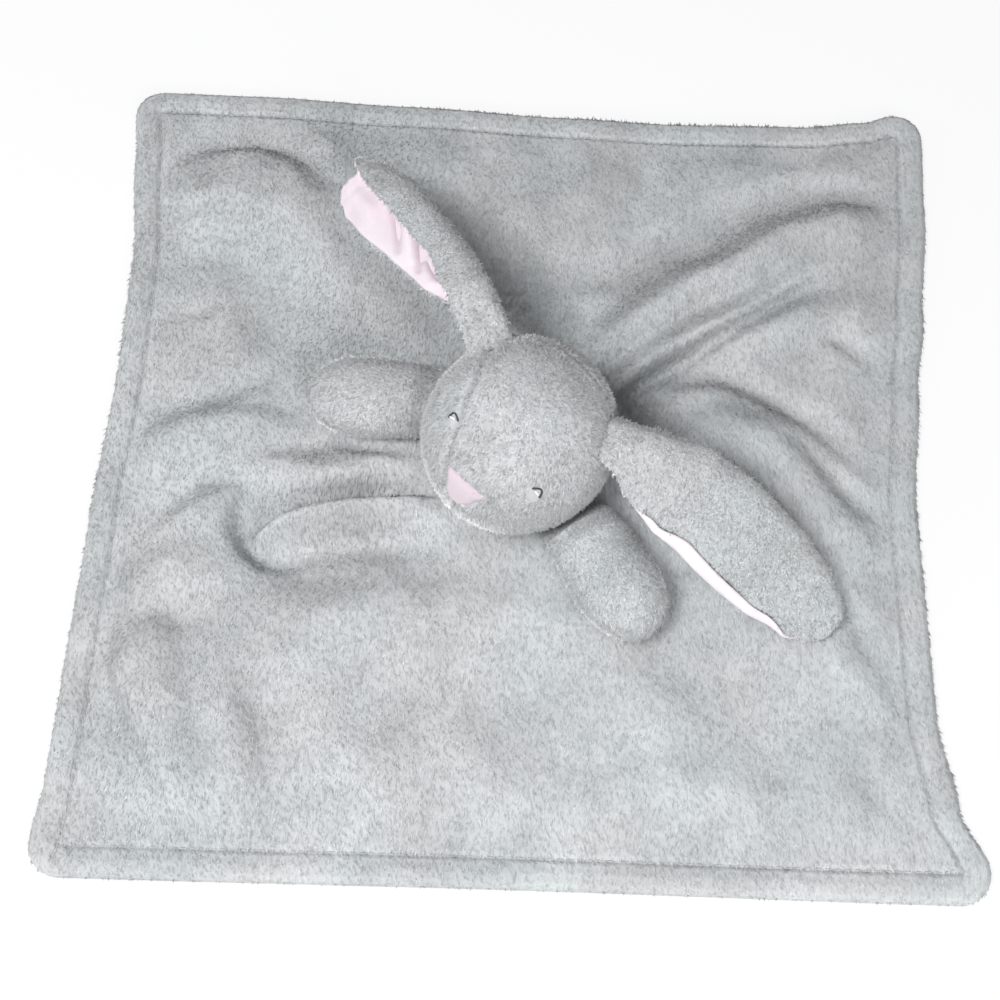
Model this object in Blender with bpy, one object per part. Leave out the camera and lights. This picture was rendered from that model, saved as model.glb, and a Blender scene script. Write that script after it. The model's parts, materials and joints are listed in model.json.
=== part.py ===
# Rabbit comfort blanket, laid flat on a table.
# Metres, +Z up. The origin is on the table under the middle of the blanket.
# The rabbit's face points towards the -X -Y corner of the blanket.
import math

import bmesh
import bpy
from mathutils import Matrix, Vector
from mathutils.bvhtree import BVHTree

# Driving dimensions
BLANKET_SIDE = 0.330
CORNER_RADIUS = 0.011
CLOTH_THICKNESS = 0.0024
SEAM_GAP = 0.0003
HEM_WIDTH = 0.0105
HEM_PUFF = 0.0014
STITCH_DIP = 0.0009
HEM_EDGE_DROP = 0.0013
HEM_ROUNDING = 0.0020
TABLE_STRIP = 0.0170
CLOTH_LIFT = 0.0030
LIFT_RUN = 0.0300
FOLD_HEIGHT = 0.0140
FOLD_SPREAD = 0.0300
NECK_MOUND = 0.0060
NECK_FLAT = 0.0290
NECK_MOUND_RUN = 0.0320
NECK_FADE = 0.0140

HEAD_X = -0.0010
HEAD_Y = -0.0127
HEAD_FRONT = 0.0360
HEAD_SIDE = 0.0345
HEAD_UP = 0.0360
NECK_CUT = 0.0309
CROWN_SEAM_BACK = 0.0155
HEAD_SKIN = 0.0022
FILL_CLEARANCE = 0.0008
HEAD_YAW_DEG = 235.3
HEAD_PITCH_DEG = 18.2
HEAD_ROLL_DEG = -11.3
GUSSET_SEAM_DEG = ((16.4, 2.9), (59.6, 43.3), (111.5, 35.3))
CHIN_SEAM_DEG = -14.0

NOSE_WIDTH = 0.0140
NOSE_HEIGHT = 0.0120
NOSE_THICKNESS = 0.0009
NOSE_DEG = (0.0, 2.0)
EYE_DEG = ((-34.5, 24.5), (37.5, 22.0))
EYE_WIDTH = 0.0056
EYE_ARCH = 0.0024
EYE_THREAD = 0.0011
GLINT_WIDTH = 0.0026
GLINT_DROP = 0.0019

EAR_LENGTH = 0.1180
EAR_WIDTH = 0.0455
EAR_OUTER_PUFF = 0.0032
EAR_LINING_PUFF = 0.0020
EAR_RIM = 0.0010
EAR_ROOT_CLEARANCE = 0.0005
EAR_CREASE_OUT = 0.0026

ARM_LENGTH = 0.0660
ARM_WIDTH = 0.0305
ARM_DEPTH = 0.0235
ARM_SKIN = 0.0020
ARM_REST_GAP = 0.0003

THREAD = 0.0009
NECK_THREAD_OUT = 0.0029

# Colours
GREY_PLUSH = (0.58, 0.60, 0.61)
PINK_PLUSH = (0.86, 0.76, 0.80)
GREY_THREAD = (0.50, 0.53, 0.54)
BLACK_THREAD = (0.05, 0.05, 0.06)
WHITE_THREAD = (0.90, 0.90, 0.92)
STUFFING = (0.85, 0.85, 0.83)
CLOTH_ROUGHNESS = 0.9
THREAD_ROUGHNESS = 0.7
SHARP_EDGE_DEG = 50

# Counts
NECK_STITCHES = 18
FIELD_CELLS = 14
HEAD_CELLS = 8
FILL_CELLS = 4
EAR_CELLS = (10, 6)
EAR_BEND_STEPS = 6
ARM_SIDES = 12
ARM_RINGS = 9
NOSE_CELLS = 4
LID_STEPS = 6
GLINT_STEPS = 2
HEM_STITCHES = 10
PATH_STEPS = 4
PUSHES = 6

# Shares of the sizes above
FIELD_GRADING_SHARE = 0.35
HEM_SHOULDER_SHARE = 0.5
HEM_INNER_SHARE = 0.33
NOSE_WIDTH_SHARES = ((-1.0, 0.16), (0.0, 0.64), (1.0, 0.90))
NOSE_CORNER_SHARE = 0.22
GLINT_THREAD_SHARE = 0.8

# Each side of the blanket is drawn in towards the head: place along the side
# from -1 to 1, and how much of that side's draw is reached there.
SIDE_DRAW = {"left": 0.0078, "right": 0.0150, "top": 0.0080, "bottom": 0.0006}
SIDE_DRAW_SHARES = {
    "left": ((-0.93, 0.0), (-0.8, 0.3), (-0.6, 0.4), (-0.2, 0.6), (0.2, 0.95), (0.5, 0.9),
             (0.8, 0.3), (0.93, 0.0)),
    "right": ((-0.93, 0.0), (-0.8, 0.6), (-0.6, 0.95), (-0.1, 1.0), (0.2, 0.7), (0.4, 0.4),
              (0.7, 0.1), (0.93, 0.0)),
    "top": ((-0.93, 0.0), (-0.7, 0.05), (-0.3, 0.4), (0.1, 0.8), (0.35, 1.0), (0.7, 0.9),
            (0.85, 0.5), (0.93, 0.0)),
    "bottom": ((-0.93, 0.0), (0.0, 1.0), (0.93, 0.0)),
}

# Main folds of the cloth. Each row is a place on the fold's line as shares of
# half the blanket's side, its height as a share of FOLD_HEIGHT, and its reach
# to the left and right of the line as shares of FOLD_SPREAD.
FOLD_SHARES = {
    "pleat_behind_head": (
        (0.13, 0.03, 0.75, 0.85, 0.62), (0.21, 0.13, 0.95, 0.95, 0.62),
        (0.33, 0.22, 0.90, 1.00, 0.62), (0.44, 0.31, 0.74, 0.95, 0.62),
        (0.62, 0.44, 0.46, 0.85, 0.62), (0.82, 0.58, 0.10, 0.75, 0.62)),
    "valley_above_pleat": (
        (0.18, 0.36, -0.08, 0.65, 0.62), (0.37, 0.51, -0.12, 0.65, 0.62),
        (0.58, 0.65, -0.12, 0.62, 0.62), (0.79, 0.74, -0.06, 0.62, 0.62)),
    "pocket_behind_ear": (
        (0.32, 0.04, -0.10, 0.80, 0.80), (0.50, 0.04, -0.12, 0.80, 0.90),
        (0.68, 0.02, -0.08, 0.70, 0.70), (0.84, -0.04, -0.04, 0.62, 0.62)),
    "fold_under_chin": (
        (-0.565, -0.185, 0.56, 0.70, 0.62), (-0.48, -0.172, 0.72, 0.75, 0.62),
        (-0.36, -0.165, 0.80, 0.80, 0.62), (-0.24, -0.165, 0.76, 0.80, 0.62),
        (-0.12, -0.165, 0.50, 0.80, 0.62)),
    "valley_round_chin_fold": (
        (-0.67, -0.14, -0.06, 0.62, 0.62), (-0.66, -0.28, -0.10, 0.65, 0.62),
        (-0.44, -0.38, -0.14, 0.70, 0.65), (-0.22, -0.36, -0.12, 0.70, 0.65),
        (-0.05, -0.33, -0.06, 0.62, 0.62)),
    "ridge_beside_arm": (
        (-0.86, 0.00, 0.08, 0.62, 0.62), (-0.74, 0.03, 0.20, 0.62, 0.62),
        (-0.62, 0.02, 0.20, 0.62, 0.62), (-0.53, -0.06, 0.08, 0.62, 0.62)),
    "crease_beside_arm": (
        (-0.90, 0.10, -0.08, 0.62, 0.62), (-0.76, 0.13, -0.12, 0.62, 0.62),
        (-0.60, 0.16, -0.10, 0.62, 0.62)),
    "valley_at_left": (
        (-0.88, -0.26, -0.06, 0.62, 0.62), (-0.76, -0.16, -0.10, 0.62, 0.62),
        (-0.66, -0.09, -0.08, 0.62, 0.62)),
    "swell_in_front": (
        (-0.50, -0.62, 0.10, 1.20, 1.10), (-0.10, -0.58, 0.14, 1.30, 1.20),
        (0.30, -0.62, 0.08, 1.20, 1.10)),
}

# Ears. Control points of the middle line as shares of the ear's length from its
# root, half widths along it, curl of the cloth across it and along it.
EAR_SHARES = {
    "ear_right": {
        "root_deg": (-103.6, 43.6),
        "line": ((0.0, 0.0, 0.0), (-0.07, 0.22, -0.02), (-0.315, 0.57, -0.18),
                 (-0.55, 0.80, -0.335)),
        "bend_deg": ((-1.0, -6.0), (-0.6, 0.0), (-0.25, 12.0), (0.0, 66.0), (0.25, 132.0),
                     (0.5, 166.0), (1.0, 176.0)),
        "curl": ((0.0, 0.75), (0.2, 0.97), (0.6, 1.0), (0.8, 0.9), (1.0, 0.7)),
        "roll_deg": ((0.0, -20.0), (0.15, -26.0), (0.5, -4.0), (1.0, 0.0)),
        "outer_side": -1.0,
    },
    "ear_left": {
        "root_deg": (103.6, 41.0),
        "line": ((0.0, 0.0, 0.0), (0.16, -0.07, 0.01), (0.42, -0.22, -0.24),
                 (0.705, -0.405, -0.42)),
        "bend_deg": ((-1.0, -40.0), (-0.8, 6.0), (-0.4, 8.0), (0.0, -4.0), (0.5, -30.0),
                     (1.0, -62.0)),
        "curl": ((0.0, 1.15), (0.3, 1.0), (0.8, 0.75), (1.0, 0.4)),
        "roll_deg": ((0.0, 0.0), (0.3, 2.0), (0.7, 4.0), (1.0, 2.0)),
        "outer_side": 1.0,
    },
}
EAR_WIDTH_SHARES = ((0.0, 0.44), (0.08, 0.56), (0.22, 0.84), (0.40, 1.0), (0.58, 0.97),
                    (0.75, 0.83), (0.88, 0.62), (0.96, 0.38), (1.0, 0.18))

EAR_PUFF_SHARES = ((0.0, 0.10), (0.22, 1.0), (0.75, 1.0), (1.0, 0.25))

# Arms. Points of the middle line in plan as shares of the arm's length from
# the middle of the neck, and how the arm swells along it.
ARM_SHARES = {
    "arm_right": ((-0.27, 0.31), (-0.60, 0.375), (-0.92, 0.40), (-1.20, 0.43)),
    "arm_left": ((0.275, -0.285), (0.40, -0.46), (0.55, -0.71), (0.715, -0.995)),
}
ARM_SWELL_SHARES = ((0.0, 0.58, 0.14), (0.18, 0.84, 0.34), (0.40, 0.94, 0.72), (0.62, 1.0, 1.0),
                    (1.0, 1.0, 1.0))
ARM_ROUND_SHARE = 0.66
ARM_THIN_SHARE = 0.40
FILL_THIN_SHARE = 0.15
ARM_FILL_SHARES = (0.20, 0.90)
ARM_TOUCH_SHARES = (-0.6, 0.0, 0.6)
LINE_STEP = 0.01

# Sizes that follow
HALF = BLANKET_SIDE / 2
SHEET_BASE = CLOTH_THICKNESS + SEAM_GAP
SHEET_TOP = SHEET_BASE + CLOTH_THICKNESS
NECK_LIFT = CLOTH_LIFT + NECK_MOUND
SEAT_Z = NECK_LIFT + SHEET_TOP
HEAD_CENTRE = Vector((HEAD_X, HEAD_Y, SEAT_Z + SEAM_GAP + NECK_CUT))
HEAD_AXES = Vector((HEAD_FRONT, HEAD_SIDE, HEAD_UP))
MERGE_DISTANCE = SEAM_GAP / 30
HEAD_TURN = (Matrix.Rotation(math.radians(HEAD_YAW_DEG), 3, "Z")
             @ Matrix.Rotation(-math.radians(HEAD_PITCH_DEG), 3, "Y")
             @ Matrix.Rotation(math.radians(HEAD_ROLL_DEG), 3, "X"))


# Curves through tables
def ease(share):
    share = min(1.0, max(0.0, share))
    return share * share * (3 - 2 * share)


def read_table(rows, place, column=1):
    if place <= rows[0][0]:
        return rows[0][column]
    for low, high in zip(rows, rows[1:]):
        if place <= high[0]:
            share = (place - low[0]) / (high[0] - low[0])
            return low[column] + (high[column] - low[column]) * ease(share)
    return rows[-1][column]


def bezier(points, share):
    a, b, c, d = points
    rest = 1 - share
    return (a * rest ** 3 + b * 3 * rest * rest * share
            + c * 3 * rest * share * share + d * share ** 3)


def smooth_rows(rows, steps):
    """Rows between the given rows, on a smooth curve through them."""
    found = []
    last = len(rows) - 1
    for index in range(last):
        before = rows[max(index - 1, 0)]
        start, end = rows[index], rows[index + 1]
        after = rows[min(index + 2, last)]
        for step in range(steps):
            t = step / steps
            found.append(tuple(
                0.5 * (2 * s + (e - b) * t + (2 * b - 5 * s + 4 * e - a) * t * t
                       + (3 * s - b - 3 * e + a) * t ** 3)
                for b, s, e, a in zip(before, start, end, after)))
    found.append(rows[-1])
    return found


# Cloth of the blanket
FOLDS = {name: smooth_rows(rows, PATH_STEPS) for name, rows in FOLD_SHARES.items()}


def fold_height(rows, x, y):
    """Height that one fold adds at a place, from its nearest point on the line."""
    nearest = None
    for start, end in zip(rows, rows[1:]):
        ax, ay = start[0] * HALF, start[1] * HALF
        dx, dy = end[0] * HALF - ax, end[1] * HALF - ay
        along = ((x - ax) * dx + (y - ay) * dy) / (dx * dx + dy * dy)
        along = min(1.0, max(0.0, along))
        off_x, off_y = x - ax - dx * along, y - ay - dy * along
        distance = math.hypot(off_x, off_y)
        if nearest is None or distance < nearest[0]:
            left = dx * off_y - dy * off_x > 0
            column = 3 if left else 4
            reach = FOLD_SPREAD * (start[column] + (end[column] - start[column]) * along)
            height = FOLD_HEIGHT * (start[2] + (end[2] - start[2]) * along)
            nearest = (distance, reach, height)
    distance, reach, height = nearest
    if distance >= reach:
        return 0.0
    return height * (0.5 + 0.5 * math.cos(math.pi * distance / reach))


def cloth_lift(x, y, inside):
    """How far the back of the cloth stands above the table."""
    lift = CLOTH_LIFT + sum(fold_height(rows, x, y) for rows in FOLDS.values())
    lift = max(0.0, lift) * ease((inside - TABLE_STRIP) / LIFT_RUN)
    from_neck = math.hypot(x - HEAD_X, y - HEAD_Y)
    seat = 1 - ease((from_neck - NECK_FLAT) / NECK_MOUND_RUN)
    mound = lift + (NECK_LIFT - lift) * seat
    beyond_seat = ease((from_neck - NECK_FLAT) / NECK_FADE)
    return NECK_LIFT + (max(lift, mound) - NECK_LIFT) * beyond_seat


def hem_profile(inside):
    """Height of the face of the hem above the plain cloth, from edge to field."""
    rows = ((0.0, -HEM_EDGE_DROP), (HEM_ROUNDING, HEM_PUFF * HEM_SHOULDER_SHARE),
            (HEM_WIDTH / 2, HEM_PUFF), (HEM_WIDTH, -STITCH_DIP),
            (TABLE_STRIP, HEM_PUFF * HEM_INNER_SHARE), (TABLE_STRIP + LIFT_RUN, 0.0))
    return read_table(rows, inside)


def grid_lines():
    """Places of the cloth's grid lines from one edge to the other."""
    hem = [0.0, HEM_ROUNDING, HEM_WIDTH / 2, HEM_WIDTH]
    field = HALF - TABLE_STRIP
    lines = [-HALF + offset for offset in hem]
    for cell in range(FIELD_CELLS + 1):
        share = cell / FIELD_CELLS
        share += FIELD_GRADING_SHARE / (2 * math.pi) * math.sin(2 * math.pi * share)
        lines.append(field * (2 * share - 1))
    return lines + [HALF - offset for offset in reversed(hem)]


def round_corner(x, y):
    """Moves a place in a corner square onto the corner's arc."""
    px = abs(x) - (HALF - CORNER_RADIUS)
    py = abs(y) - (HALF - CORNER_RADIUS)
    if px <= 0 or py <= 0:
        return x, y
    scale = max(px, py) / math.hypot(px, py)
    new_x = HALF - CORNER_RADIUS + px * scale
    new_y = HALF - CORNER_RADIUS + py * scale
    return math.copysign(new_x, x), math.copysign(new_y, y)


def draw_in(x, y):
    """Draws the sides of the square in towards the head."""
    u, v = x / HALF, y / HALF
    left = SIDE_DRAW["left"] * read_table(SIDE_DRAW_SHARES["left"], v)
    right = SIDE_DRAW["right"] * read_table(SIDE_DRAW_SHARES["right"], v)
    bottom = SIDE_DRAW["bottom"] * read_table(SIDE_DRAW_SHARES["bottom"], u)
    top = SIDE_DRAW["top"] * read_table(SIDE_DRAW_SHARES["top"], u)
    return (x + left * (1 - u) / 2 - right * (1 + u) / 2,
            y + bottom * (1 - v) / 2 - top * (1 + v) / 2)


def cloth_place(x, y, base, thickness, shaped):
    """A point of a cloth panel from its place on the flat square."""
    inside = HALF - max(abs(x), abs(y))
    plan_x, plan_y = draw_in(*round_corner(x, y))
    z = cloth_lift(plan_x, plan_y, inside) + base + thickness
    if shaped:
        z += hem_profile(inside)
    elif thickness == 0 and inside <= 0:
        z += HEM_EDGE_DROP / 2
    return Vector((plan_x, plan_y, z))


# Mesh helpers
def unit_slab(columns, rows):
    """A slab of square cells, from -1 to 1 in X and Y and from 0 to 1 in Z."""
    bm = bmesh.new()
    bmesh.ops.create_grid(bm, x_segments=columns, y_segments=rows, size=1)
    grown = bmesh.ops.extrude_face_region(bm, geom=bm.faces[:])["geom"]
    raised = [item for item in grown if isinstance(item, bmesh.types.BMVert)]
    bmesh.ops.translate(bm, verts=raised, vec=(0, 0, 1))
    return bm


def close_up(bm):
    """Turns a closed mesh's faces outwards and makes them triangles."""
    bmesh.ops.recalc_face_normals(bm, faces=bm.faces[:])
    if bm.calc_volume(signed=True) < 0:
        bmesh.ops.reverse_faces(bm, faces=bm.faces[:])
    bmesh.ops.triangulate(bm, faces=bm.faces[:])
    return bm


def make_material(name, colour, roughness):
    material = bpy.data.materials.new(name)
    material.use_nodes = True
    shader = material.node_tree.nodes["Principled BSDF"]
    shader.inputs["Base Color"].default_value = (*colour, 1)
    shader.inputs["Roughness"].default_value = roughness
    shader.inputs["Metallic"].default_value = 0
    material.diffuse_color = (*colour, 1)
    return material


def add_piece(name, bm, colour, roughness=CLOTH_ROUGHNESS, pivot=None):
    """Makes a named object from a mesh in world places, turning on its pivot."""
    mesh = bpy.data.meshes.new(name)
    bm.to_mesh(mesh)
    bm.free()
    return place_piece(name, mesh, colour, roughness, pivot)


def place_piece(name, mesh, colour, roughness, pivot):
    mesh.materials.clear()
    mesh.materials.append(make_material(name, colour, roughness))
    mesh.shade_smooth()
    mesh.set_sharp_from_angle(angle=math.radians(SHARP_EDGE_DEG))
    piece = bpy.data.objects.new(name, mesh)
    parts.objects.link(piece)
    if pivot is not None:
        mesh.transform(pivot.matrix_world.inverted())
        piece.parent = pivot
    return piece


def add_pivot(name, place, axis, parent=None):
    """An empty whose local X lies on a joint's axis."""
    pivot = bpy.data.objects.new(name, None)
    pivot.empty_display_size = THREAD
    parts.objects.link(pivot)
    turn = axis.to_track_quat("X", "Z").to_matrix().to_4x4()
    world = Matrix.Translation(place) @ turn
    if parent is not None:
        pivot.parent = parent
        pivot.matrix_local = parent.matrix_world.inverted() @ world
    else:
        pivot.matrix_world = world
    bpy.context.view_layer.update()
    print(name, [round(value, 5) for value in place], [round(value, 4) for value in axis])
    return pivot


def add_thread(name, points, thickness, colour, cyclic=False, pivot=None):
    """A sewing thread along given points, made a closed mesh."""
    curve = bpy.data.curves.new(name, "CURVE")
    curve.dimensions = "3D"
    curve.bevel_depth = thickness / 2
    curve.bevel_resolution = 1
    curve.use_fill_caps = not cyclic
    spline = curve.splines.new("POLY")
    spline.points.add(len(points) - 1)
    for point, place in zip(spline.points, points):
        point.co = (*place, 1)
    spline.use_cyclic_u = cyclic
    guide = bpy.data.objects.new(name + "_guide", curve)
    parts.objects.link(guide)
    depsgraph = bpy.context.evaluated_depsgraph_get()
    mesh = bpy.data.meshes.new_from_object(guide.evaluated_get(depsgraph))
    bpy.data.objects.remove(guide)
    bm = bmesh.new()
    bm.from_mesh(mesh)
    bpy.data.meshes.remove(mesh)
    bmesh.ops.remove_doubles(bm, verts=bm.verts[:], dist=MERGE_DISTANCE)
    return add_piece(name, close_up(bm), colour, THREAD_ROUGHNESS, pivot)


def surface_under(surface, place):
    """Height of the cloth's face straight below a place."""
    hit = surface.ray_cast(Vector((place.x, place.y, BLANKET_SIDE)), Vector((0, 0, -1)))
    return hit[0].z if hit[0] is not None else 0.0


# Blanket
def build_cloth_panel(name, base, shaped):
    lines = grid_lines()
    cells = len(lines) - 1
    bm = unit_slab(cells, cells)
    for vert in bm.verts:
        column = round((vert.co.x + 1) / 2 * cells)
        row = round((vert.co.y + 1) / 2 * cells)
        upper = vert.co.z > 0.5
        thickness = CLOTH_THICKNESS if upper else 0.0
        vert.co = cloth_place(lines[column], lines[row], base, thickness, shaped and upper)
    close_up(bm)
    surface = BVHTree.FromBMesh(bm)
    add_piece(name, bm, GREY_PLUSH)
    return surface


def build_hem_stitch(surface):
    side = HALF - HEM_WIDTH
    arc_start = side - (CORNER_RADIUS - HEM_WIDTH / 2)
    along = [arc_start * (2 * step / HEM_STITCHES - 1) for step in range(HEM_STITCHES + 1)]
    flat = ([(place, -side) for place in along] + [(side, place) for place in along]
            + [(-place, side) for place in along] + [(-side, -place) for place in along])
    points = []
    for x, y in flat:
        plan_x, plan_y = draw_in(x, y)
        point = Vector((plan_x, plan_y, 0))
        point.z = surface_under(surface, point) + SEAM_GAP + THREAD / 2
        points.append(point)
    add_thread("hem_topstitch", points, THREAD, GREY_THREAD, cyclic=True)


# Head
def head_point(direction, inset=0.0):
    """A point of the head's skin, or below it, in a direction from its middle."""
    local = Vector((direction.x / HEAD_AXES.x, direction.y / HEAD_AXES.y,
                    direction.z / HEAD_AXES.z))
    reach = 1 / local.length
    return HEAD_CENTRE + HEAD_TURN @ (direction * (reach - inset))


def head_direction(azimuth_deg, rise_deg):
    azimuth, rise = math.radians(azimuth_deg), math.radians(rise_deg)
    return Vector((math.cos(rise) * math.cos(azimuth), math.cos(rise) * math.sin(azimuth),
                   math.sin(rise)))


def head_ball(cells, inset):
    """The head's closed form, on even square cells."""
    bm = bmesh.new()
    bmesh.ops.create_cube(bm, size=2)
    bmesh.ops.subdivide_edges(bm, edges=bm.edges[:], cuts=cells - 1, use_grid_fill=True)
    for vert in bm.verts:
        even = Vector([math.tan(value * math.pi / 4) for value in vert.co])
        vert.co = head_point(even.normalized(), inset)
    bmesh.ops.recalc_face_normals(bm, faces=bm.faces[:])
    return bm


def gusset_plane(side):
    """Plane of one seam of the forehead gusset, as a point and an outward normal."""
    corners = [head_point(head_direction(side * azimuth, rise)) for azimuth, rise in GUSSET_SEAM_DEG]
    normal = (corners[1] - corners[0]).cross(corners[2] - corners[0]).normalized()
    outward = HEAD_TURN @ Vector((0, side, 0))
    if normal.dot(outward) < 0:
        normal = -normal
    return corners[0], normal


def cut_plane(bm, plane, offset, clear):
    """Cuts a mesh on a plane moved along its normal, and may clear what lies beyond."""
    place, normal = plane
    everything = bm.verts[:] + bm.edges[:] + bm.faces[:]
    cut = bmesh.ops.bisect_plane(bm, geom=everything, dist=MERGE_DISTANCE, plane_no=normal,
                                 plane_co=place + normal * offset, clear_outer=clear)
    return [item for item in cut["geom_cut"] if isinstance(item, bmesh.types.BMEdge)]


def build_head_panel(name, keep, pivot, leave=()):
    """One sewn panel of the head: what lies behind every plane kept, less the
    ground that lies behind all the planes left to its neighbour."""
    bm = head_ball(HEAD_CELLS, 0)
    for plane in keep:
        cut_plane(bm, plane, -SEAM_GAP / 2, True)
    for plane in leave:
        cut_plane(bm, plane, SEAM_GAP / 2, False)
    if leave:
        neighbours = [face for face in bm.faces if all(
            (face.calc_center_median() - place).dot(normal) < SEAM_GAP / 2 for place, normal in leave)]
        bmesh.ops.delete(bm, geom=neighbours, context="FACES")
    bmesh.ops.dissolve_degenerate(bm, dist=SEAM_GAP / 3, edges=bm.edges[:])
    grown = bmesh.ops.extrude_face_region(bm, geom=bm.faces[:])["geom"]
    for item in grown:
        if isinstance(item, bmesh.types.BMVert):
            outward = item.co - HEAD_CENTRE
            item.co -= outward.normalized() * HEAD_SKIN
    add_piece(name, close_up(bm), GREY_PLUSH, pivot=pivot)


def build_head(pivot):
    along, left, up = (HEAD_TURN.col[axis] for axis in range(3))
    crown = (HEAD_CENTRE - along * CROWN_SEAM_BACK, -along)
    behind_crown = (crown[0], along)
    neck = (Vector((HEAD_CENTRE.x, HEAD_CENTRE.y, SEAT_Z + SEAM_GAP / 2)), Vector((0, 0, -1)))
    left_seam, right_seam = gusset_plane(1), gusset_plane(-1)
    chin = (head_point(head_direction(0, CHIN_SEAM_DEG)), -up)
    gusset = (left_seam, right_seam, chin)
    build_head_panel("forehead_gusset", (*gusset, crown), pivot)
    build_head_panel("right_cheek", ((HEAD_CENTRE, left), crown, neck), pivot, gusset)
    build_head_panel("left_cheek", ((HEAD_CENTRE, -left), crown, neck), pivot, gusset)
    build_head_panel("back_of_head", (behind_crown, neck), pivot)
    filling = head_ball(FILL_CELLS, HEAD_SKIN + FILL_CLEARANCE)
    rim = cut_plane(filling, neck, -SEAM_GAP / 2, True)
    bmesh.ops.contextual_create(filling, geom=rim)
    add_piece("head_filling", close_up(filling), STUFFING, pivot=pivot)


def face_frame(angles):
    """Place on the head and the directions to its left and up along the skin."""
    direction = head_direction(*angles)
    place = head_point(direction)
    outward = (place - HEAD_CENTRE).normalized()
    left = (HEAD_TURN @ Vector((0, 0, 1))).cross(outward).normalized()
    return place, outward, left, outward.cross(left)


def on_head(skin, place, outward, clearance):
    """Moves a place along a direction until it clears the head's skin."""
    start = place + outward * HEAD_UP
    hit = skin.ray_cast(start, -outward)
    return hit[0] + outward * clearance


def build_nose(skin, pivot):
    place, outward, left, up = face_frame(NOSE_DEG)
    bm = unit_slab(NOSE_CELLS, NOSE_CELLS)
    for vert in bm.verts:
        across, rise = vert.co.x, vert.co.y
        taper = read_table(NOSE_WIDTH_SHARES, rise)
        rounding = 1 - NOSE_CORNER_SHARE * across * across * rise * rise
        side = left * (NOSE_WIDTH / 2 * across * taper * rounding)
        height = up * (NOSE_HEIGHT / 2 * rise * rounding)
        clearance = SEAM_GAP + NOSE_THICKNESS * (1 if vert.co.z > 0.5 else 0)
        vert.co = on_head(skin, place + side + height, outward, clearance)
    add_piece("nose", close_up(bm), PINK_PLUSH, pivot=pivot)


def build_eye(name, angles, skin, pivot):
    place, outward, left, up = face_frame(angles)
    lid, glint = [], []
    for step in range(LID_STEPS + 1):
        share = 2 * step / LID_STEPS - 1
        rise = EYE_ARCH * (1 - share * share)
        spot = place + left * (EYE_WIDTH / 2 * share) + up * rise
        lid.append(on_head(skin, spot, outward, SEAM_GAP + EYE_THREAD / 2))
    for step in range(GLINT_STEPS + 1):
        share = 2 * step / GLINT_STEPS - 1
        spot = place + left * (GLINT_WIDTH / 2 * share) + up * (EYE_ARCH - GLINT_DROP)
        glint.append(on_head(skin, spot, outward, SEAM_GAP + EYE_THREAD / 2))
    add_thread(name, lid, EYE_THREAD, BLACK_THREAD, pivot=pivot)
    add_thread(name + "_glint", glint, EYE_THREAD * GLINT_THREAD_SHARE, WHITE_THREAD, pivot=pivot)


# Ears
def ear_lines(name):
    shares = EAR_SHARES[name]
    skin = head_point(head_direction(*shares["root_deg"]))
    outward = (skin - HEAD_CENTRE).normalized()
    root = skin + outward * (EAR_ROOT_CLEARANCE + EAR_OUTER_PUFF / 2)
    return [root + Vector(share) * EAR_LENGTH for share in shares["line"]]


def ear_section(name, along, steps):
    """Places and outward directions across the ear, as (across, up) pairs."""
    shares = EAR_SHARES[name]
    half_width = EAR_WIDTH / 2 * read_table(EAR_WIDTH_SHARES, along)
    curl = read_table(shares["curl"], along)
    roll = read_table(shares["roll_deg"], along)
    last = steps * EAR_BEND_STEPS
    across, up = 0.0, 0.0
    places, bends = [], []
    for step in range(last + 1):
        share = 2 * step / last - 1
        bend = math.radians(read_table(shares["bend_deg"], share) * curl + roll)
        if step % EAR_BEND_STEPS == 0:
            places.append((across, up))
            bends.append(bend)
        across += math.cos(bend) * half_width * 2 / last
        up += math.sin(bend) * half_width * 2 / last
    mean_across = sum(place[0] for place in places) / len(places)
    mean_up = sum(place[1] for place in places) / len(places)
    return [(place[0] - mean_across, place[1] - mean_up, bend)
            for place, bend in zip(places, bends)]


def ear_frame(line, along):
    here = bezier(line, along)
    ahead = bezier(line, min(1.0, along + LINE_STEP)) - bezier(line, max(0.0, along - LINE_STEP))
    ahead.normalize()
    across = Vector((0, 0, 1)).cross(ahead).normalized()
    if across.dot(Vector((0, 1, 0))) < 0:
        across = -across
    up = ahead.cross(across)
    return here, across, up if up.z > 0 else -up


def ear_depth(name, side, column, row, raised):
    """How far a point of one ear layer lies from the middle of the ear."""
    columns, rows = EAR_CELLS
    puff = EAR_OUTER_PUFF if side == EAR_SHARES[name]["outer_side"] else EAR_LINING_PUFF
    fullness = 1 - abs(2 * row / rows - 1) ** 3
    fullness *= read_table(EAR_PUFF_SHARES, column / columns)
    depth = SEAM_GAP / 2
    if raised:
        depth += EAR_RIM + (puff - EAR_RIM) * fullness
    return side * depth


def ear_spot(station, row, depth):
    here, across, up, section = station
    offset_across, offset_up, bend = section[row]
    normal = across * -math.sin(bend) + up * math.cos(bend)
    return here + across * offset_across + up * offset_up + normal * depth


def head_depth(place):
    """How far a place lies inside the head's skin, below zero outside it."""
    local = HEAD_TURN.transposed() @ (place - HEAD_CENTRE)
    share = Vector((local.x / HEAD_AXES.x, local.y / HEAD_AXES.y, local.z / HEAD_AXES.z)).length
    return local.length * (1 / share - 1)


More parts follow.
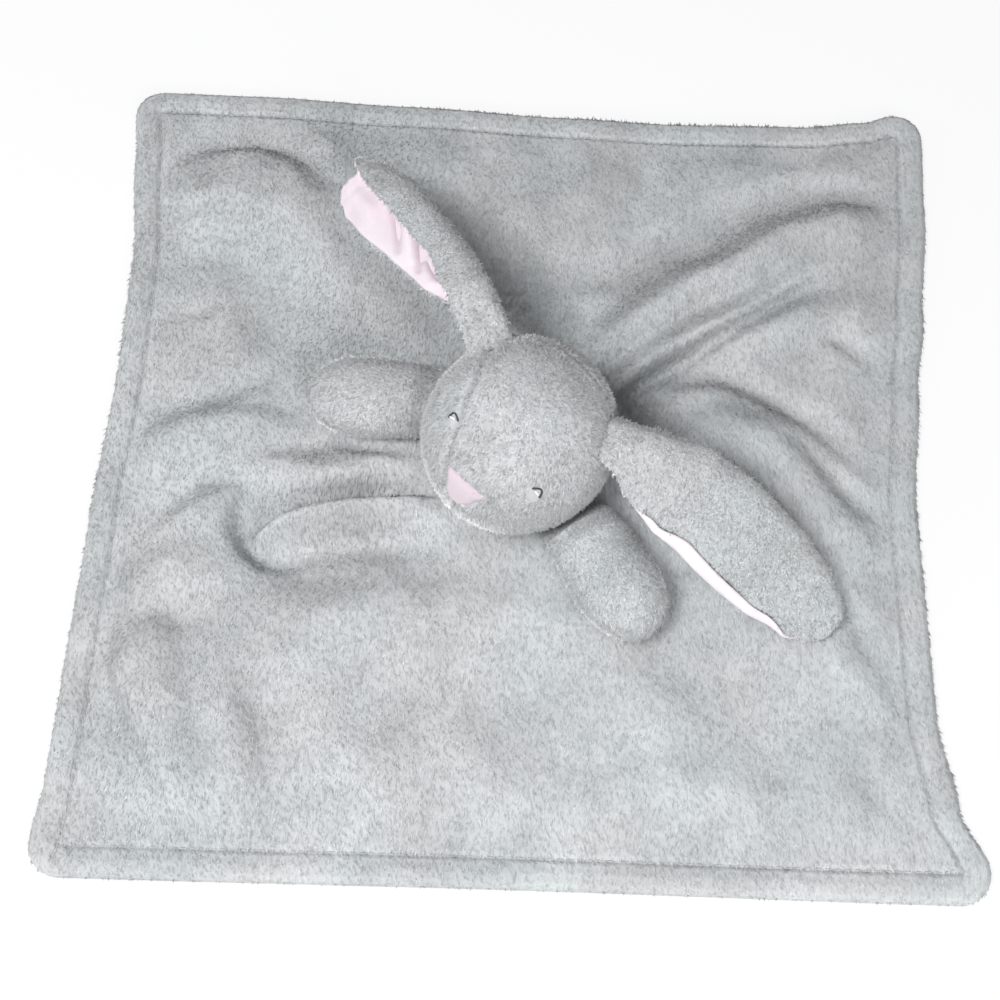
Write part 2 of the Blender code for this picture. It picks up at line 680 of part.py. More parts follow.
def ear_stations(name, surface):
    """Sections along the ear, each moved clear of the head and of the cloth.
    The first one seats on the head."""
    columns, rows = EAR_CELLS
    line = ear_lines(name)
    stations = []
    for column in range(columns + 1):
        along = column / columns
        here, across, up = ear_frame(line, along)
        section = ear_section(name, along, rows)
        outward = (here - HEAD_CENTRE).normalized()
        for _ in range(PUSHES):
            spots = [ear_spot((here, across, up, section), row,
                              ear_depth(name, side, column, row, True))
                     for row in range(rows + 1) for side in (-1.0, 1.0)]
            inside = max(head_depth(spot) + EAR_ROOT_CLEARANCE for spot in spots)
            here = here + outward * (inside if column == 0 else max(0.0, inside))
            sunk = max(surface_under(surface, spot) + ARM_REST_GAP - spot.z for spot in spots)
            here = here + Vector((0, 0, max(0.0, sunk)))
        stations.append((here, across, up, section))
    return stations


def build_ear_layer(name, part, side, colour, stations, pivot):
    """One cloth layer of an ear, from the middle of the ear out to one side."""
    columns, rows = EAR_CELLS
    bm = unit_slab(columns, rows)
    for vert in bm.verts:
        column = round((vert.co.x + 1) / 2 * columns)
        row = round((vert.co.y + 1) / 2 * rows)
        depth = ear_depth(name, side, column, row, vert.co.z > 0.5)
        vert.co = ear_spot(stations[column], row, depth)
    add_piece(name + part, close_up(bm), colour, pivot=pivot)


def build_neck_stitch():
    """The thread that sews the head's neck to the cloth, round the opening of the neck."""
    drop = HEAD_CENTRE.z - SEAT_Z - SEAM_GAP
    radius = HEAD_SIDE * math.sqrt(1 - (drop / HEAD_UP) ** 2) + NECK_THREAD_OUT
    turns = [2 * math.pi * step / NECK_STITCHES for step in range(NECK_STITCHES)]
    points = [Vector((HEAD_X + math.cos(turn) * radius, HEAD_Y + math.sin(turn) * radius,
                      SEAT_Z + SEAM_GAP + THREAD / 2)) for turn in turns]
    add_thread("neck_stitching", points, THREAD, GREY_THREAD, cyclic=True)


# Arms
def arm_line(name):
    neck = Vector((HEAD_X, HEAD_Y, 0))
    return [neck + Vector((*share, 0)) * ARM_LENGTH for share in ARM_SHARES[name]]


def arm_section(along):
    """Half width and half depth of the arm at a share of its length."""
    width = ARM_WIDTH / 2 * read_table(ARM_SWELL_SHARES, along, 1)
    depth = ARM_DEPTH / 2 * read_table(ARM_SWELL_SHARES, along, 2)
    if along > ARM_ROUND_SHARE:
        share = (along - ARM_ROUND_SHARE) / (1 - ARM_ROUND_SHARE)
        width *= math.sqrt(max(0.0, 1 - share * share))
        depth *= math.sqrt(max(0.0, 1 - share * share))
    return width, depth


def arm_place(line, along, turn, inset, surface):
    """A point of the arm, or a depth below its skin. Its underside lies on the cloth."""
    along *= 1 - inset / (line[3] - line[0]).length
    here = bezier(line, along)
    ahead = bezier(line, min(1.0, along + LINE_STEP)) - bezier(line, max(0.0, along - LINE_STEP))
    ahead.normalize()
    across = Vector((-ahead.y, ahead.x, 0))
    width, depth = arm_section(along)
    full_depth = ARM_DEPTH / 2 * read_table(ARM_SWELL_SHARES, along, 2)
    cloth = max(surface_under(surface, here + across * (width * share))
                for share in ARM_TOUCH_SHARES)
    here.z = cloth + ARM_REST_GAP + full_depth
    thin_share = FILL_THIN_SHARE if inset > ARM_SKIN else ARM_THIN_SHARE
    width = max(width - inset, width * thin_share)
    depth = max(depth - inset, depth * thin_share)
    return here + across * (math.cos(turn) * width) + Vector((0, 0, math.sin(turn) * depth))


def arm_tube(start, end):
    """An arm's closed form cut off at two shares of its length, open where cut."""
    bm = bmesh.new()
    bmesh.ops.create_uvsphere(bm, u_segments=ARM_SIDES, v_segments=ARM_RINGS, radius=1)
    beyond = [vert for vert in bm.verts if not start < (vert.co.z + 1) / 2 < end]
    bmesh.ops.delete(bm, geom=beyond, context="VERTS")
    return bm


def shape_arm(bm, line, surface, insets):
    for vert in bm.verts:
        turn = math.atan2(vert.co.y, vert.co.x)
        vert.co = arm_place(line, (vert.co.z + 1) / 2, turn, insets[vert], surface)


def build_arm_cover(name, line, surface, pivot):
    """The arm's sewn skin, open at its root."""
    bm = arm_tube(SEAM_GAP, 2.0)
    grown = set(bmesh.ops.extrude_face_region(bm, geom=bm.faces[:])["geom"])
    insets = {vert: ARM_SKIN if vert in grown else 0.0 for vert in bm.verts}
    shape_arm(bm, line, surface, insets)
    add_piece(name + "_cover", close_up(bm), GREY_PLUSH, pivot=pivot)


def build_arm_filling(name, line, surface, pivot):
    bm = arm_tube(*ARM_FILL_SHARES)
    bmesh.ops.holes_fill(bm, edges=[edge for edge in bm.edges if edge.is_boundary])
    shape_arm(bm, line, surface, dict.fromkeys(bm.verts, ARM_SKIN + FILL_CLEARANCE))
    add_piece(name + "_filling", close_up(bm), STUFFING, pivot=pivot)


# Assembly
for old in list(bpy.data.objects):
    bpy.data.objects.remove(old)
parts = bpy.data.collections.new("rabbit_comfort_blanket")
bpy.context.scene.collection.children.link(parts)

build_cloth_panel("blanket_back_panel", 0.0, False)
cloth_face = build_cloth_panel("blanket_top_panel", SHEET_BASE, True)
build_hem_stitch(cloth_face)
build_neck_stitch()

head_pivot = add_pivot("head_turn_axis", Vector((HEAD_X, HEAD_Y, SEAT_Z)), Vector((0, 0, 1)))
build_head(head_pivot)
skin_form = head_ball(HEAD_CELLS, 0)
head_skin = BVHTree.FromBMesh(skin_form)
skin_form.free()
build_nose(head_skin, head_pivot)
build_eye("right_eye", EYE_DEG[0], head_skin, head_pivot)
build_eye("left_eye", EYE_DEG[1], head_skin, head_pivot)

for ear in EAR_SHARES:
    stations = ear_stations(ear, cloth_face)
    seam, seam_line = stations[0][:2]
    crease = seam + (seam - HEAD_CENTRE).normalized() * EAR_CREASE_OUT
    ear_pivot = add_pivot(ear + "_axis", crease, seam_line, head_pivot)
    outer = EAR_SHARES[ear]["outer_side"]
    build_ear_layer(ear, "_outer", outer, GREY_PLUSH, stations, ear_pivot)
    build_ear_layer(ear, "_lining", -outer, PINK_PLUSH, stations, ear_pivot)

for arm in ARM_SHARES:
    start = arm_line(arm)
    forward = (start[1] - start[0]).normalized()
    hinge = start[0].copy()
    hinge.z = surface_under(cloth_face, hinge) + ARM_REST_GAP
    arm_pivot = add_pivot(arm + "_axis", hinge, Vector((forward.y, -forward.x, 0)))
    build_arm_cover(arm, start, cloth_face, arm_pivot)
    build_arm_filling(arm, start, cloth_face, arm_pivot)
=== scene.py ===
# Rabbit comfort blanket: plush square with a stuffed head, two lop ears and two short arms.
# Metres, Z up. The blanket lies on the floor, and its middle is at the origin.
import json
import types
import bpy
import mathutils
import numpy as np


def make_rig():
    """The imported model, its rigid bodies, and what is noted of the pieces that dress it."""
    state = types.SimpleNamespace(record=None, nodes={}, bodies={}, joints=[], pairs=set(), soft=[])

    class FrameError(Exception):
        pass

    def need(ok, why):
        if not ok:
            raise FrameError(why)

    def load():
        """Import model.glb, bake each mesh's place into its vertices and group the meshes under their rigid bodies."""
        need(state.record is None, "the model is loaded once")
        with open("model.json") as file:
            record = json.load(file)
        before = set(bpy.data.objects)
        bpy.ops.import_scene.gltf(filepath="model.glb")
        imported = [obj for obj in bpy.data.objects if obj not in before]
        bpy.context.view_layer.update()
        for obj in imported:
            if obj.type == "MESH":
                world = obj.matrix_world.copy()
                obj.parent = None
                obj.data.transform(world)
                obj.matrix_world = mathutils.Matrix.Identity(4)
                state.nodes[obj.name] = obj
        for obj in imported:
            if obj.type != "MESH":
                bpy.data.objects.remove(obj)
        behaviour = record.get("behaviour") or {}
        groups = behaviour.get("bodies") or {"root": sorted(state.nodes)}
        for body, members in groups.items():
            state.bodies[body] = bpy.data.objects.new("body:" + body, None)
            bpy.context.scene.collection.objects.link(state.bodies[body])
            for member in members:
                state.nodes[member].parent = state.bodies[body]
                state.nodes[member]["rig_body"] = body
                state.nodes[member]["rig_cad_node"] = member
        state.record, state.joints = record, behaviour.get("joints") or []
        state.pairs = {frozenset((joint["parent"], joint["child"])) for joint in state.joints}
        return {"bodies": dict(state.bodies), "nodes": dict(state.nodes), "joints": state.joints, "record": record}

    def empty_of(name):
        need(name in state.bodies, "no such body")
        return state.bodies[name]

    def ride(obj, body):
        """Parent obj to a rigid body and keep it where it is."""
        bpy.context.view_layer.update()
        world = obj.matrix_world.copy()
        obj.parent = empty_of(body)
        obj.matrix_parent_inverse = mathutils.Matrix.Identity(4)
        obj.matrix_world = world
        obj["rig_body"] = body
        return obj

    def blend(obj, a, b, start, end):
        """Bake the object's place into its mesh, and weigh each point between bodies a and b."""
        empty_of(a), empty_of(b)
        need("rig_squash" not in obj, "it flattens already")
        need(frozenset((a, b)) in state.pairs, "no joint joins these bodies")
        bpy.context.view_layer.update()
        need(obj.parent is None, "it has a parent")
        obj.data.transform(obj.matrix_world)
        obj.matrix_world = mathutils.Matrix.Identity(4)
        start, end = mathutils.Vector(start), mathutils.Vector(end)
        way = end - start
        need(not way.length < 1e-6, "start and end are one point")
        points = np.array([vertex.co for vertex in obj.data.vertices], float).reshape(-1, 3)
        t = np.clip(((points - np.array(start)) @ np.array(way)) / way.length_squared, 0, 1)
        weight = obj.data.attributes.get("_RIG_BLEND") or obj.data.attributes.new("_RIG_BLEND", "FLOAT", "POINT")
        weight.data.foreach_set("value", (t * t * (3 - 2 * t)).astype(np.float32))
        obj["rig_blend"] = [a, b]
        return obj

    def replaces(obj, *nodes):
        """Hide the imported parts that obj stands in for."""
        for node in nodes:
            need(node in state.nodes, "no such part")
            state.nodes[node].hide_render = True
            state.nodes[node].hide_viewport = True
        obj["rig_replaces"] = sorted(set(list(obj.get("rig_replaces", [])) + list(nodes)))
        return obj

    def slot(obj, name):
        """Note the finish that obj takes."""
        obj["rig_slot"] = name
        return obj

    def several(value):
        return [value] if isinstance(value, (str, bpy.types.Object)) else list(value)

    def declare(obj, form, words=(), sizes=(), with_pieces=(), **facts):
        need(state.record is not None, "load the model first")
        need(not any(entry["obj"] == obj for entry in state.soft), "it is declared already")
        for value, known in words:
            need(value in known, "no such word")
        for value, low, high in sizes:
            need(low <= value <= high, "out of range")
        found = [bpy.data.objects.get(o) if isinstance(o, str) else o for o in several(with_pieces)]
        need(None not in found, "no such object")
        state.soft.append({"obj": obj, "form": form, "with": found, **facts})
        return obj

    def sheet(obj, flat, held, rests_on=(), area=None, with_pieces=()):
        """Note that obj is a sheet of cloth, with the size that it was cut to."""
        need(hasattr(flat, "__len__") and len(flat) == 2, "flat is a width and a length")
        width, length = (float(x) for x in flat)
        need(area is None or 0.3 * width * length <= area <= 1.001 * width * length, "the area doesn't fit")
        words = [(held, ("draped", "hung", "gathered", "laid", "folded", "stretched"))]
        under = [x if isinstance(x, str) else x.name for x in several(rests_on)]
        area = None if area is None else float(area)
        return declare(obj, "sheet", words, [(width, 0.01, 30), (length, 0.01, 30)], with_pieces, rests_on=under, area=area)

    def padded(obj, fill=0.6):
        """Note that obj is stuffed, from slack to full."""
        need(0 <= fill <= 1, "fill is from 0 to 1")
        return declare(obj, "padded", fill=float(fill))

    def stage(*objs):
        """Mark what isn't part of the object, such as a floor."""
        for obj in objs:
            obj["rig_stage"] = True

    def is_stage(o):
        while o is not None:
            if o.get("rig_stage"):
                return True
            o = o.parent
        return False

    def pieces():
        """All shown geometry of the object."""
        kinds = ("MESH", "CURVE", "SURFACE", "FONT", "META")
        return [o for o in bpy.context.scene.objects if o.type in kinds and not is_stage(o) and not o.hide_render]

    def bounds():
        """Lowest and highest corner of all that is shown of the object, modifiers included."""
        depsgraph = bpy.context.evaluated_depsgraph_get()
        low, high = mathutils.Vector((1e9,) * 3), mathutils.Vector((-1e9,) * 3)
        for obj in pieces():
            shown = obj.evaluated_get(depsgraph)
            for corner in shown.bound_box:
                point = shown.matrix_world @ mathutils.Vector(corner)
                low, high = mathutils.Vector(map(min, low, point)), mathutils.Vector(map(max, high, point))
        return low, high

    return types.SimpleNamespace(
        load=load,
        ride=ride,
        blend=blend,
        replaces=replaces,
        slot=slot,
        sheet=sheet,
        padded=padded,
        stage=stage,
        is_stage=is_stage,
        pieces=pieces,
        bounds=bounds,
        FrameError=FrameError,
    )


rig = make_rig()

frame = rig.load()

import json
import math
import bmesh
import bpy
import numpy as np
from mathutils import Matrix, Vector, noise
from mathutils.bvhtree import BVHTree

mm = 0.001
wanderSeed = 23     # without it the folds and the pile wander anew in each run
noise.seed_set(wanderSeed)
cadLow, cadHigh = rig.bounds()
scene = bpy.context.scene
scene.view_settings.view_transform = "Standard"
print("frame loaded")


# camera, lights and floor
view = {
    "lens": 59.09,
    "place": (-0.008, -0.2765, 0.5661),
    "turnDeg": (24.5625, -0.825, 1.639),
}
studio = {
    "sensor": 36, "sky": (0.96, 0.98, 1.0), "skyLevel": 0.28,
    "floorColour": (0.80, 0.80, 0.80), "floorSize": 3.0, "floorGlow": 0.80,
}
lamps = {     # place, width of the round lamp, power
    "keyLamp": ((-0.571, -0.532, 1.408), 0.53, 18.2),
    "frontLamp": ((0.28, -0.70, 0.53), 0.4, 4.5),
    "leftLamp": ((-0.72, -0.06, 0.36), 0.4, 1.3),
}


def addLamp(name, place, size, power):
    light = bpy.data.lights.new(name, "AREA")
    light.shape = "DISK"
    light.size = size
    light.energy = power
    lamp = bpy.data.objects.new(name, light)
    lamp.location = place
    lamp.rotation_euler = (-Vector(place)).to_track_quat("-Z", "Y").to_euler()
    scene.collection.objects.link(lamp)


def setCamera():
    camera = bpy.data.cameras.new("camera")
    camera.lens = view["lens"]
    camera.sensor_width = studio["sensor"]
    cameraObject = bpy.data.objects.new("camera", camera)
    cameraObject.location = view["place"]
    cameraObject.rotation_euler = [math.radians(turn) for turn in view["turnDeg"]]
    scene.collection.objects.link(cameraObject)
    scene.camera = cameraObject


def setSky():
    world = bpy.data.worlds.new("studioWorld")
    world.use_nodes = True
    scene.world = world
    tree = world.node_tree
    tree.nodes.clear()
    path = tree.nodes.new("ShaderNodeLightPath")
    seen = tree.nodes.new("ShaderNodeMath")     # 1 where the camera, gloss or glass sees the sky
    seen.operation = "MAXIMUM"
    either = tree.nodes.new("ShaderNodeMath")
    either.operation = "MAXIMUM"
    tree.links.new(path.outputs["Is Camera Ray"], either.inputs[0])
    tree.links.new(path.outputs["Is Glossy Ray"], either.inputs[1])
    tree.links.new(either.outputs[0], seen.inputs[0])
    tree.links.new(path.outputs["Is Transmission Ray"], seen.inputs[1])
    soft = tree.nodes.new("ShaderNodeBackground")
    soft.inputs["Color"].default_value = (*studio["sky"], 1)
    soft.inputs["Strength"].default_value = studio["skyLevel"]
    white = tree.nodes.new("ShaderNodeBackground")
    white.inputs["Color"].default_value = (1, 1, 1, 1)
    white.inputs["Strength"].default_value = 1
    mix = tree.nodes.new("ShaderNodeMixShader")
    out = tree.nodes.new("ShaderNodeOutputWorld")
    tree.links.new(seen.outputs[0], mix.inputs["Fac"])
    tree.links.new(soft.outputs[0], mix.inputs[1])
    tree.links.new(white.outputs[0], mix.inputs[2])
    tree.links.new(mix.outputs[0], out.inputs["Surface"])


def layFloor():
    bm = bmesh.new()
    bmesh.ops.create_grid(bm, x_segments=2, y_segments=2, size=studio["floorSize"])
    mesh = bpy.data.meshes.new("floor")
    bm.to_mesh(mesh)
    bm.free()
    floor = bpy.data.objects.new("floor", mesh)
    scene.collection.objects.link(floor)
    material = bpy.data.materials.new("floorPaper")
    material.use_nodes = True
    tree = material.node_tree
    shader = tree.nodes["Principled BSDF"]
    shader.inputs["Base Color"].default_value = (*studio["floorColour"], 1)
    shader.inputs["Roughness"].default_value = 1
    shader.inputs["Specular IOR Level"].default_value = 0
    path = tree.nodes.new("ShaderNodeLightPath")
    glow = tree.nodes.new("ShaderNodeEmission")
    glow.inputs["Strength"].default_value = 1
    share = tree.nodes.new("ShaderNodeMath")
    share.operation = "MULTIPLY"
    share.inputs[1].default_value = studio["floorGlow"]
    mix = tree.nodes.new("ShaderNodeMixShader")
    tree.links.new(path.outputs["Is Camera Ray"], share.inputs[0])
    tree.links.new(share.outputs[0], mix.inputs["Fac"])
    tree.links.new(shader.outputs[0], mix.inputs[1])
    tree.links.new(glow.outputs[0], mix.inputs[2])
    tree.links.new(mix.outputs[0], tree.nodes["Material Output"].inputs["Surface"])
    mesh.materials.append(material)
    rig.stage(floor)


setCamera()
for name, (place, size, power) in lamps.items():
    addLamp(name, place, size, power)
setSky()
layFloor()
print("studio set")


# plush finishes
brushwork = {     # noise scales to a metre, and how rough each noise is
    "driftScale": 28, "streakDetail": 3, "streakRough": 0.62, "clumpScale": 260, "clumpShare": 0.8,
    "hueScale": 21, "hueFrom": 0.38, "hueTo": 0.62, "patchScale": 48, "patchDetail": 4, "patchRough": 0.6,
    "roughLow": 0.8, "roughSpread": 0.2, "specular": 0.2,
}


def socketed(tree, sockets, side):
    for name, kind in sockets:
        tree.interface.new_socket(name, in_out=side, socket_type="NodeSocket" + kind)


def join(tree, *pairs):
    for start, end in pairs:
        tree.links.new(start, end)


def mathNode(tree, operation, first, second):
    node = tree.nodes.new("ShaderNodeMath")
    node.operation = operation
    for socket, value in zip(node.inputs, (first, second)):
        if isinstance(value, (int, float)):
            socket.default_value = value
        else:
            tree.links.new(value, socket)
    return node.outputs[0]


def noiseNode(tree, vector, scale, detail, rough=0.5):
    node = tree.nodes.new("ShaderNodeTexNoise")
    node.inputs["Scale"].default_value = scale
    node.inputs["Detail"].default_value = detail
    node.inputs["Roughness"].default_value = rough
    tree.links.new(vector, node.inputs["Vector"])
    return node


def buildStreakGroup():
    # short streaks of brushed pile, lying along one direction that wanders
    tree = bpy.data.node_groups.new("pileStreaks", "ShaderNodeTree")
    socketed(tree, (("Vector", "Vector"), ("Across Scale", "Float"), ("Along Scale", "Float"),
                    ("Wander", "Float")), "INPUT")
    socketed(tree, (("Streaks", "Float"), ("Clumps", "Float")), "OUTPUT")
    source = tree.nodes.new("NodeGroupInput")
    out = tree.nodes.new("NodeGroupOutput")
    drift = noiseNode(tree, source.outputs["Vector"], brushwork["driftScale"], 2)
    centred = tree.nodes.new("ShaderNodeVectorMath")
    centred.operation = "SUBTRACT"
    centred.inputs[1].default_value = (0.5, 0.5, 0.5)
    join(tree, (drift.outputs["Color"], centred.inputs[0]))
    moved = tree.nodes.new("ShaderNodeVectorMath")
    moved.operation = "SCALE"
    join(tree, (centred.outputs[0], moved.inputs[0]), (source.outputs["Wander"], moved.inputs["Scale"]))
    place = tree.nodes.new("ShaderNodeVectorMath")
    place.operation = "ADD"
    join(tree, (source.outputs["Vector"], place.inputs[0]), (moved.outputs[0], place.inputs[1]))
    scales = tree.nodes.new("ShaderNodeCombineXYZ")
    join(tree, (source.outputs["Across Scale"], scales.inputs["X"]),
         (source.outputs["Along Scale"], scales.inputs["Y"]),
         (source.outputs["Along Scale"], scales.inputs["Z"]))
    stretched = tree.nodes.new("ShaderNodeVectorMath")
    stretched.operation = "MULTIPLY"
    join(tree, (place.outputs[0], stretched.inputs[0]), (scales.outputs[0], stretched.inputs[1]))
    streaks = noiseNode(tree, stretched.outputs[0], 1, brushwork["streakDetail"],
                        brushwork["streakRough"])
    clumps = noiseNode(tree, place.outputs[0], brushwork["clumpScale"], 2)
    join(tree, (streaks.outputs["Fac"], out.inputs["Streaks"]),
         (clumps.outputs["Fac"], out.inputs["Clumps"]))
    return tree


def buildTintGroup():
    # patches of plush brushed this way and that, a little lighter, darker, warmer or cooler; where a crease mask is
    # given, painted shade takes the colour towards a darker one
    tree = bpy.data.node_groups.new("plushTint", "ShaderNodeTree")
    socketed(tree, (("Vector", "Vector"), ("Warm", "Color"), ("Cool", "Color"),
                    ("Patch Depth", "Float"), ("Streak", "Float"), ("Streak Depth", "Float"),
                    ("Crease Shade Colour", "Color"), ("Crease Shade Share", "Float"), ("Tone", "Float")), "INPUT")
    socketed(tree, (("Color", "Color"),), "OUTPUT")
    source = tree.nodes.new("NodeGroupInput")
    out = tree.nodes.new("NodeGroupOutput")
    hue = noiseNode(tree, source.outputs["Vector"], brushwork["hueScale"], 2)
    hueRamp = tree.nodes.new("ShaderNodeMapRange")
    hueRamp.inputs["From Min"].default_value = brushwork["hueFrom"]
    hueRamp.inputs["From Max"].default_value = brushwork["hueTo"]
    join(tree, (hue.outputs["Fac"], hueRamp.inputs["Value"]))
    mix = tree.nodes.new("ShaderNodeMix")
    mix.data_type = "RGBA"
    join(tree, (hueRamp.outputs[0], mix.inputs["Factor"]), (source.outputs["Warm"], mix.inputs["A"]),
         (source.outputs["Cool"], mix.inputs["B"]))
    patch = noiseNode(tree, source.outputs["Vector"], brushwork["patchScale"],
                      brushwork["patchDetail"], brushwork["patchRough"])
    level = mathNode(tree, "SUBTRACT", patch.outputs["Fac"], 0.5)
    level = mathNode(tree, "MULTIPLY", level, source.outputs["Patch Depth"])
    streak = mathNode(tree, "SUBTRACT", source.outputs["Streak"], 0.5)
    streak = mathNode(tree, "MULTIPLY", streak, source.outputs["Streak Depth"])
    level = mathNode(tree, "ADD", mathNode(tree, "ADD", level, streak), 1)
    level = mathNode(tree, "ADD", level, source.outputs["Tone"])
    # painted shade: the colour goes towards the darker one where the mask marks a crease
    shadeMix = tree.nodes.new("ShaderNodeMix")
    shadeMix.data_type = "RGBA"
    join(tree, (source.outputs["Crease Shade Share"], shadeMix.inputs["Factor"]),
         (mix.outputs["Result"], shadeMix.inputs["A"]), (source.outputs["Crease Shade Colour"], shadeMix.inputs["B"]))
    lit = tree.nodes.new("ShaderNodeVectorMath")
    lit.operation = "SCALE"
    join(tree, (shadeMix.outputs["Result"], lit.inputs[0]), (level, lit.inputs["Scale"]),
         (lit.outputs[0], out.inputs["Color"]))
    return tree


streakGroup = buildStreakGroup()
tintGroup = buildTintGroup()
plush = {
    "greyWarm": (0.480, 0.486, 0.494), "greyCool": (0.458, 0.481, 0.487),
    "pinkWarm": (0.770, 0.674, 0.728), "pinkCool": (0.768, 0.696, 0.745),
    # the darker pink is painted shade for the creases of the ear lining
    "pinkCreaseShade": (0.560, 0.430, 0.485), "nosePink": (0.545, 0.468, 0.507),
    "sheen": 0.22, "curlSheen": 0.80, "sheenRoughness": 0.45,
    "toneDepth": 0.22, "curlToneDepth": 0.35,
}


def readOnMesh(tree, name):
    node = tree.nodes.new("ShaderNodeAttribute")
    node.attribute_name = name
    return node.outputs["Fac"]


def plushMaterial(name, warm, cool, patchDepth, streakDepth, across=1250, along=330, bump=0.5,
                  depth=0.5 * mm, wander=0.012, sheen=plush["sheen"], creaseShade=False, tufts=0):
    material = bpy.data.materials.new(name)
    material.use_nodes = True
    tree = material.node_tree
    shader = tree.nodes["Principled BSDF"]
    shader.inputs["Sheen Weight"].default_value = sheen
    shader.inputs["Sheen Roughness"].default_value = plush["sheenRoughness"]
    shader.inputs["Specular IOR Level"].default_value = brushwork["specular"]
    place = tree.nodes.new("ShaderNodeTexCoord")
    streaks = tree.nodes.new("ShaderNodeGroup")
    streaks.node_tree = streakGroup
    streaks.inputs["Across Scale"].default_value = across
    streaks.inputs["Along Scale"].default_value = along
    streaks.inputs["Wander"].default_value = wander
    tint = tree.nodes.new("ShaderNodeGroup")
    tint.node_tree = tintGroup
    tint.inputs["Warm"].default_value = (*warm, 1)
    tint.inputs["Cool"].default_value = (*cool, 1)
    tint.inputs["Patch Depth"].default_value = patchDepth
    tint.inputs["Streak Depth"].default_value = streakDepth
    # painted shade: the lining's creases take a darker pink, by a mask stored on the mesh
    tint.inputs["Crease Shade Colour"].default_value = (*plush["pinkCreaseShade"], 1)
    if creaseShade:
        join(tree, (readOnMesh(tree, "creaseShade"), tint.inputs["Crease Shade Share"]))
    if tufts:
        tone = mathNode(tree, "MULTIPLY", readOnMesh(tree, "tone"), tufts)
        join(tree, (tone, tint.inputs["Tone"]))
    join(tree, (place.outputs["Object"], streaks.inputs["Vector"]),
         (place.outputs["Object"], tint.inputs["Vector"]),
         (streaks.outputs["Streaks"], tint.inputs["Streak"]),
         (tint.outputs["Color"], shader.inputs["Base Color"]))
    height = mathNode(tree, "ADD", streaks.outputs["Streaks"],
                      mathNode(tree, "MULTIPLY", streaks.outputs["Clumps"],
                               brushwork["clumpShare"]))
    bumpNode = tree.nodes.new("ShaderNodeBump")
    bumpNode.inputs["Strength"].default_value = bump
    bumpNode.inputs["Distance"].default_value = depth
    join(tree, (height, bumpNode.inputs["Height"]), (bumpNode.outputs[0], shader.inputs["Normal"]))
    rough = mathNode(tree, "MULTIPLY", streaks.outputs["Streaks"], brushwork["roughSpread"])
    rough = mathNode(tree, "ADD", rough, brushwork["roughLow"])
    join(tree, (rough, shader.inputs["Roughness"]))
    return material


greyPlush = plushMaterial("greyPlush", plush["greyWarm"], plush["greyCool"], 0.60, 0.35)
greyPile = plushMaterial("greyPile", plush["greyWarm"], plush["greyCool"], 0.60, 0.25, bump=0.2,
                         tufts=plush["toneDepth"])
curlyPile = plushMaterial("curlyPile", plush["greyWarm"], plush["greyCool"], 0.35, 0.25, bump=0.2,
                          sheen=plush["curlSheen"], tufts=plush["curlToneDepth"])
pinkPlush = plushMaterial("pinkPlush", plush["pinkWarm"], plush["pinkCool"], 0.12, 0.10,
                          across=1600, along=700, bump=0.3, sheen=0.35, creaseShade=True)
nosePlush = plushMaterial("nosePlush", plush["nosePink"], plush["nosePink"], 0.10, 0.14,
                          across=1500, along=600, bump=0.4)
print("plush finishes made")


# curves and shape helpers
def ease(share):
    share = np.clip(share, 0, 1)
    return share * share * (3 - 2 * share)


def readTable(rows, places, column=1):
    keys = np.array([row[0] for row in rows])
    values = np.array([row[column] for row in rows])
    low = np.clip(np.searchsorted(keys, places, side="right") - 1, 0, len(keys) - 2)
    share = ease((places - keys[low]) / (keys[low + 1] - keys[low]))
    return values[low] + (values[low + 1] - values[low]) * share


def smoothRows(rows, steps):
    # more rows on a smooth curve through the given ones
    found = []
    last = len(rows) - 1
    for index in range(last):
        b, s = rows[max(index - 1, 0)], rows[index]
        e, a = rows[index + 1], rows[min(index + 2, last)]
        for step in range(steps):
            t = step / steps
            found.append(0.5 * (2 * s + (e - b) * t + (2 * b - 5 * s + 4 * e - a) * t * t
                                + (3 * s - b - 3 * e + a) * t ** 3))
    return np.array(found + [rows[-1]])


def bezier(points, share):
    a, b, c, d = points
    rest = 1 - share
    return (a * rest ** 3 + b * 3 * rest * rest * share
            + c * 3 * rest * share * share + d * share ** 3)


def slab(columns, rows):
    # square cells from -1 to 1, with a lower and an upper face
    bm = bmesh.new()
    bmesh.ops.create_grid(bm, x_segments=columns, y_segments=rows, size=1)
    grown = bmesh.ops.extrude_face_region(bm, geom=bm.faces[:])["geom"]
    raised = [item for item in grown if isinstance(item, bmesh.types.BMVert)]
    bmesh.ops.translate(bm, verts=raised, vec=(0, 0, 1))
    return bm


def faceRank(face):
    # extruding and merging leave the faces in a new order each run, and the pile grows in that order
    corners = [vert.index for vert in face.verts]
    return min(corners) * 1e6 + max(corners)


def addPiece(name, bm, material):
    bmesh.ops.recalc_face_normals(bm, faces=bm.faces[:])
    if bm.calc_volume(signed=True) < 0:
        bmesh.ops.reverse_faces(bm, faces=bm.faces[:])
    bm.verts.index_update()
    bm.faces.sort(key=faceRank)
    mesh = bpy.data.meshes.new(name)
    bm.to_mesh(mesh)
    bm.free()
    mesh.shade_smooth()
    mesh.materials.append(material)
    piece = bpy.data.objects.new(name, mesh)
    scene.collection.objects.link(piece)
    return piece


def meshPlaces(bm):
    bm.verts.ensure_lookup_table()
    return np.array([vert.co for vert in bm.verts])


def setPlaces(bm, places):
    for vert, place in zip(bm.verts, places):
        vert.co = place


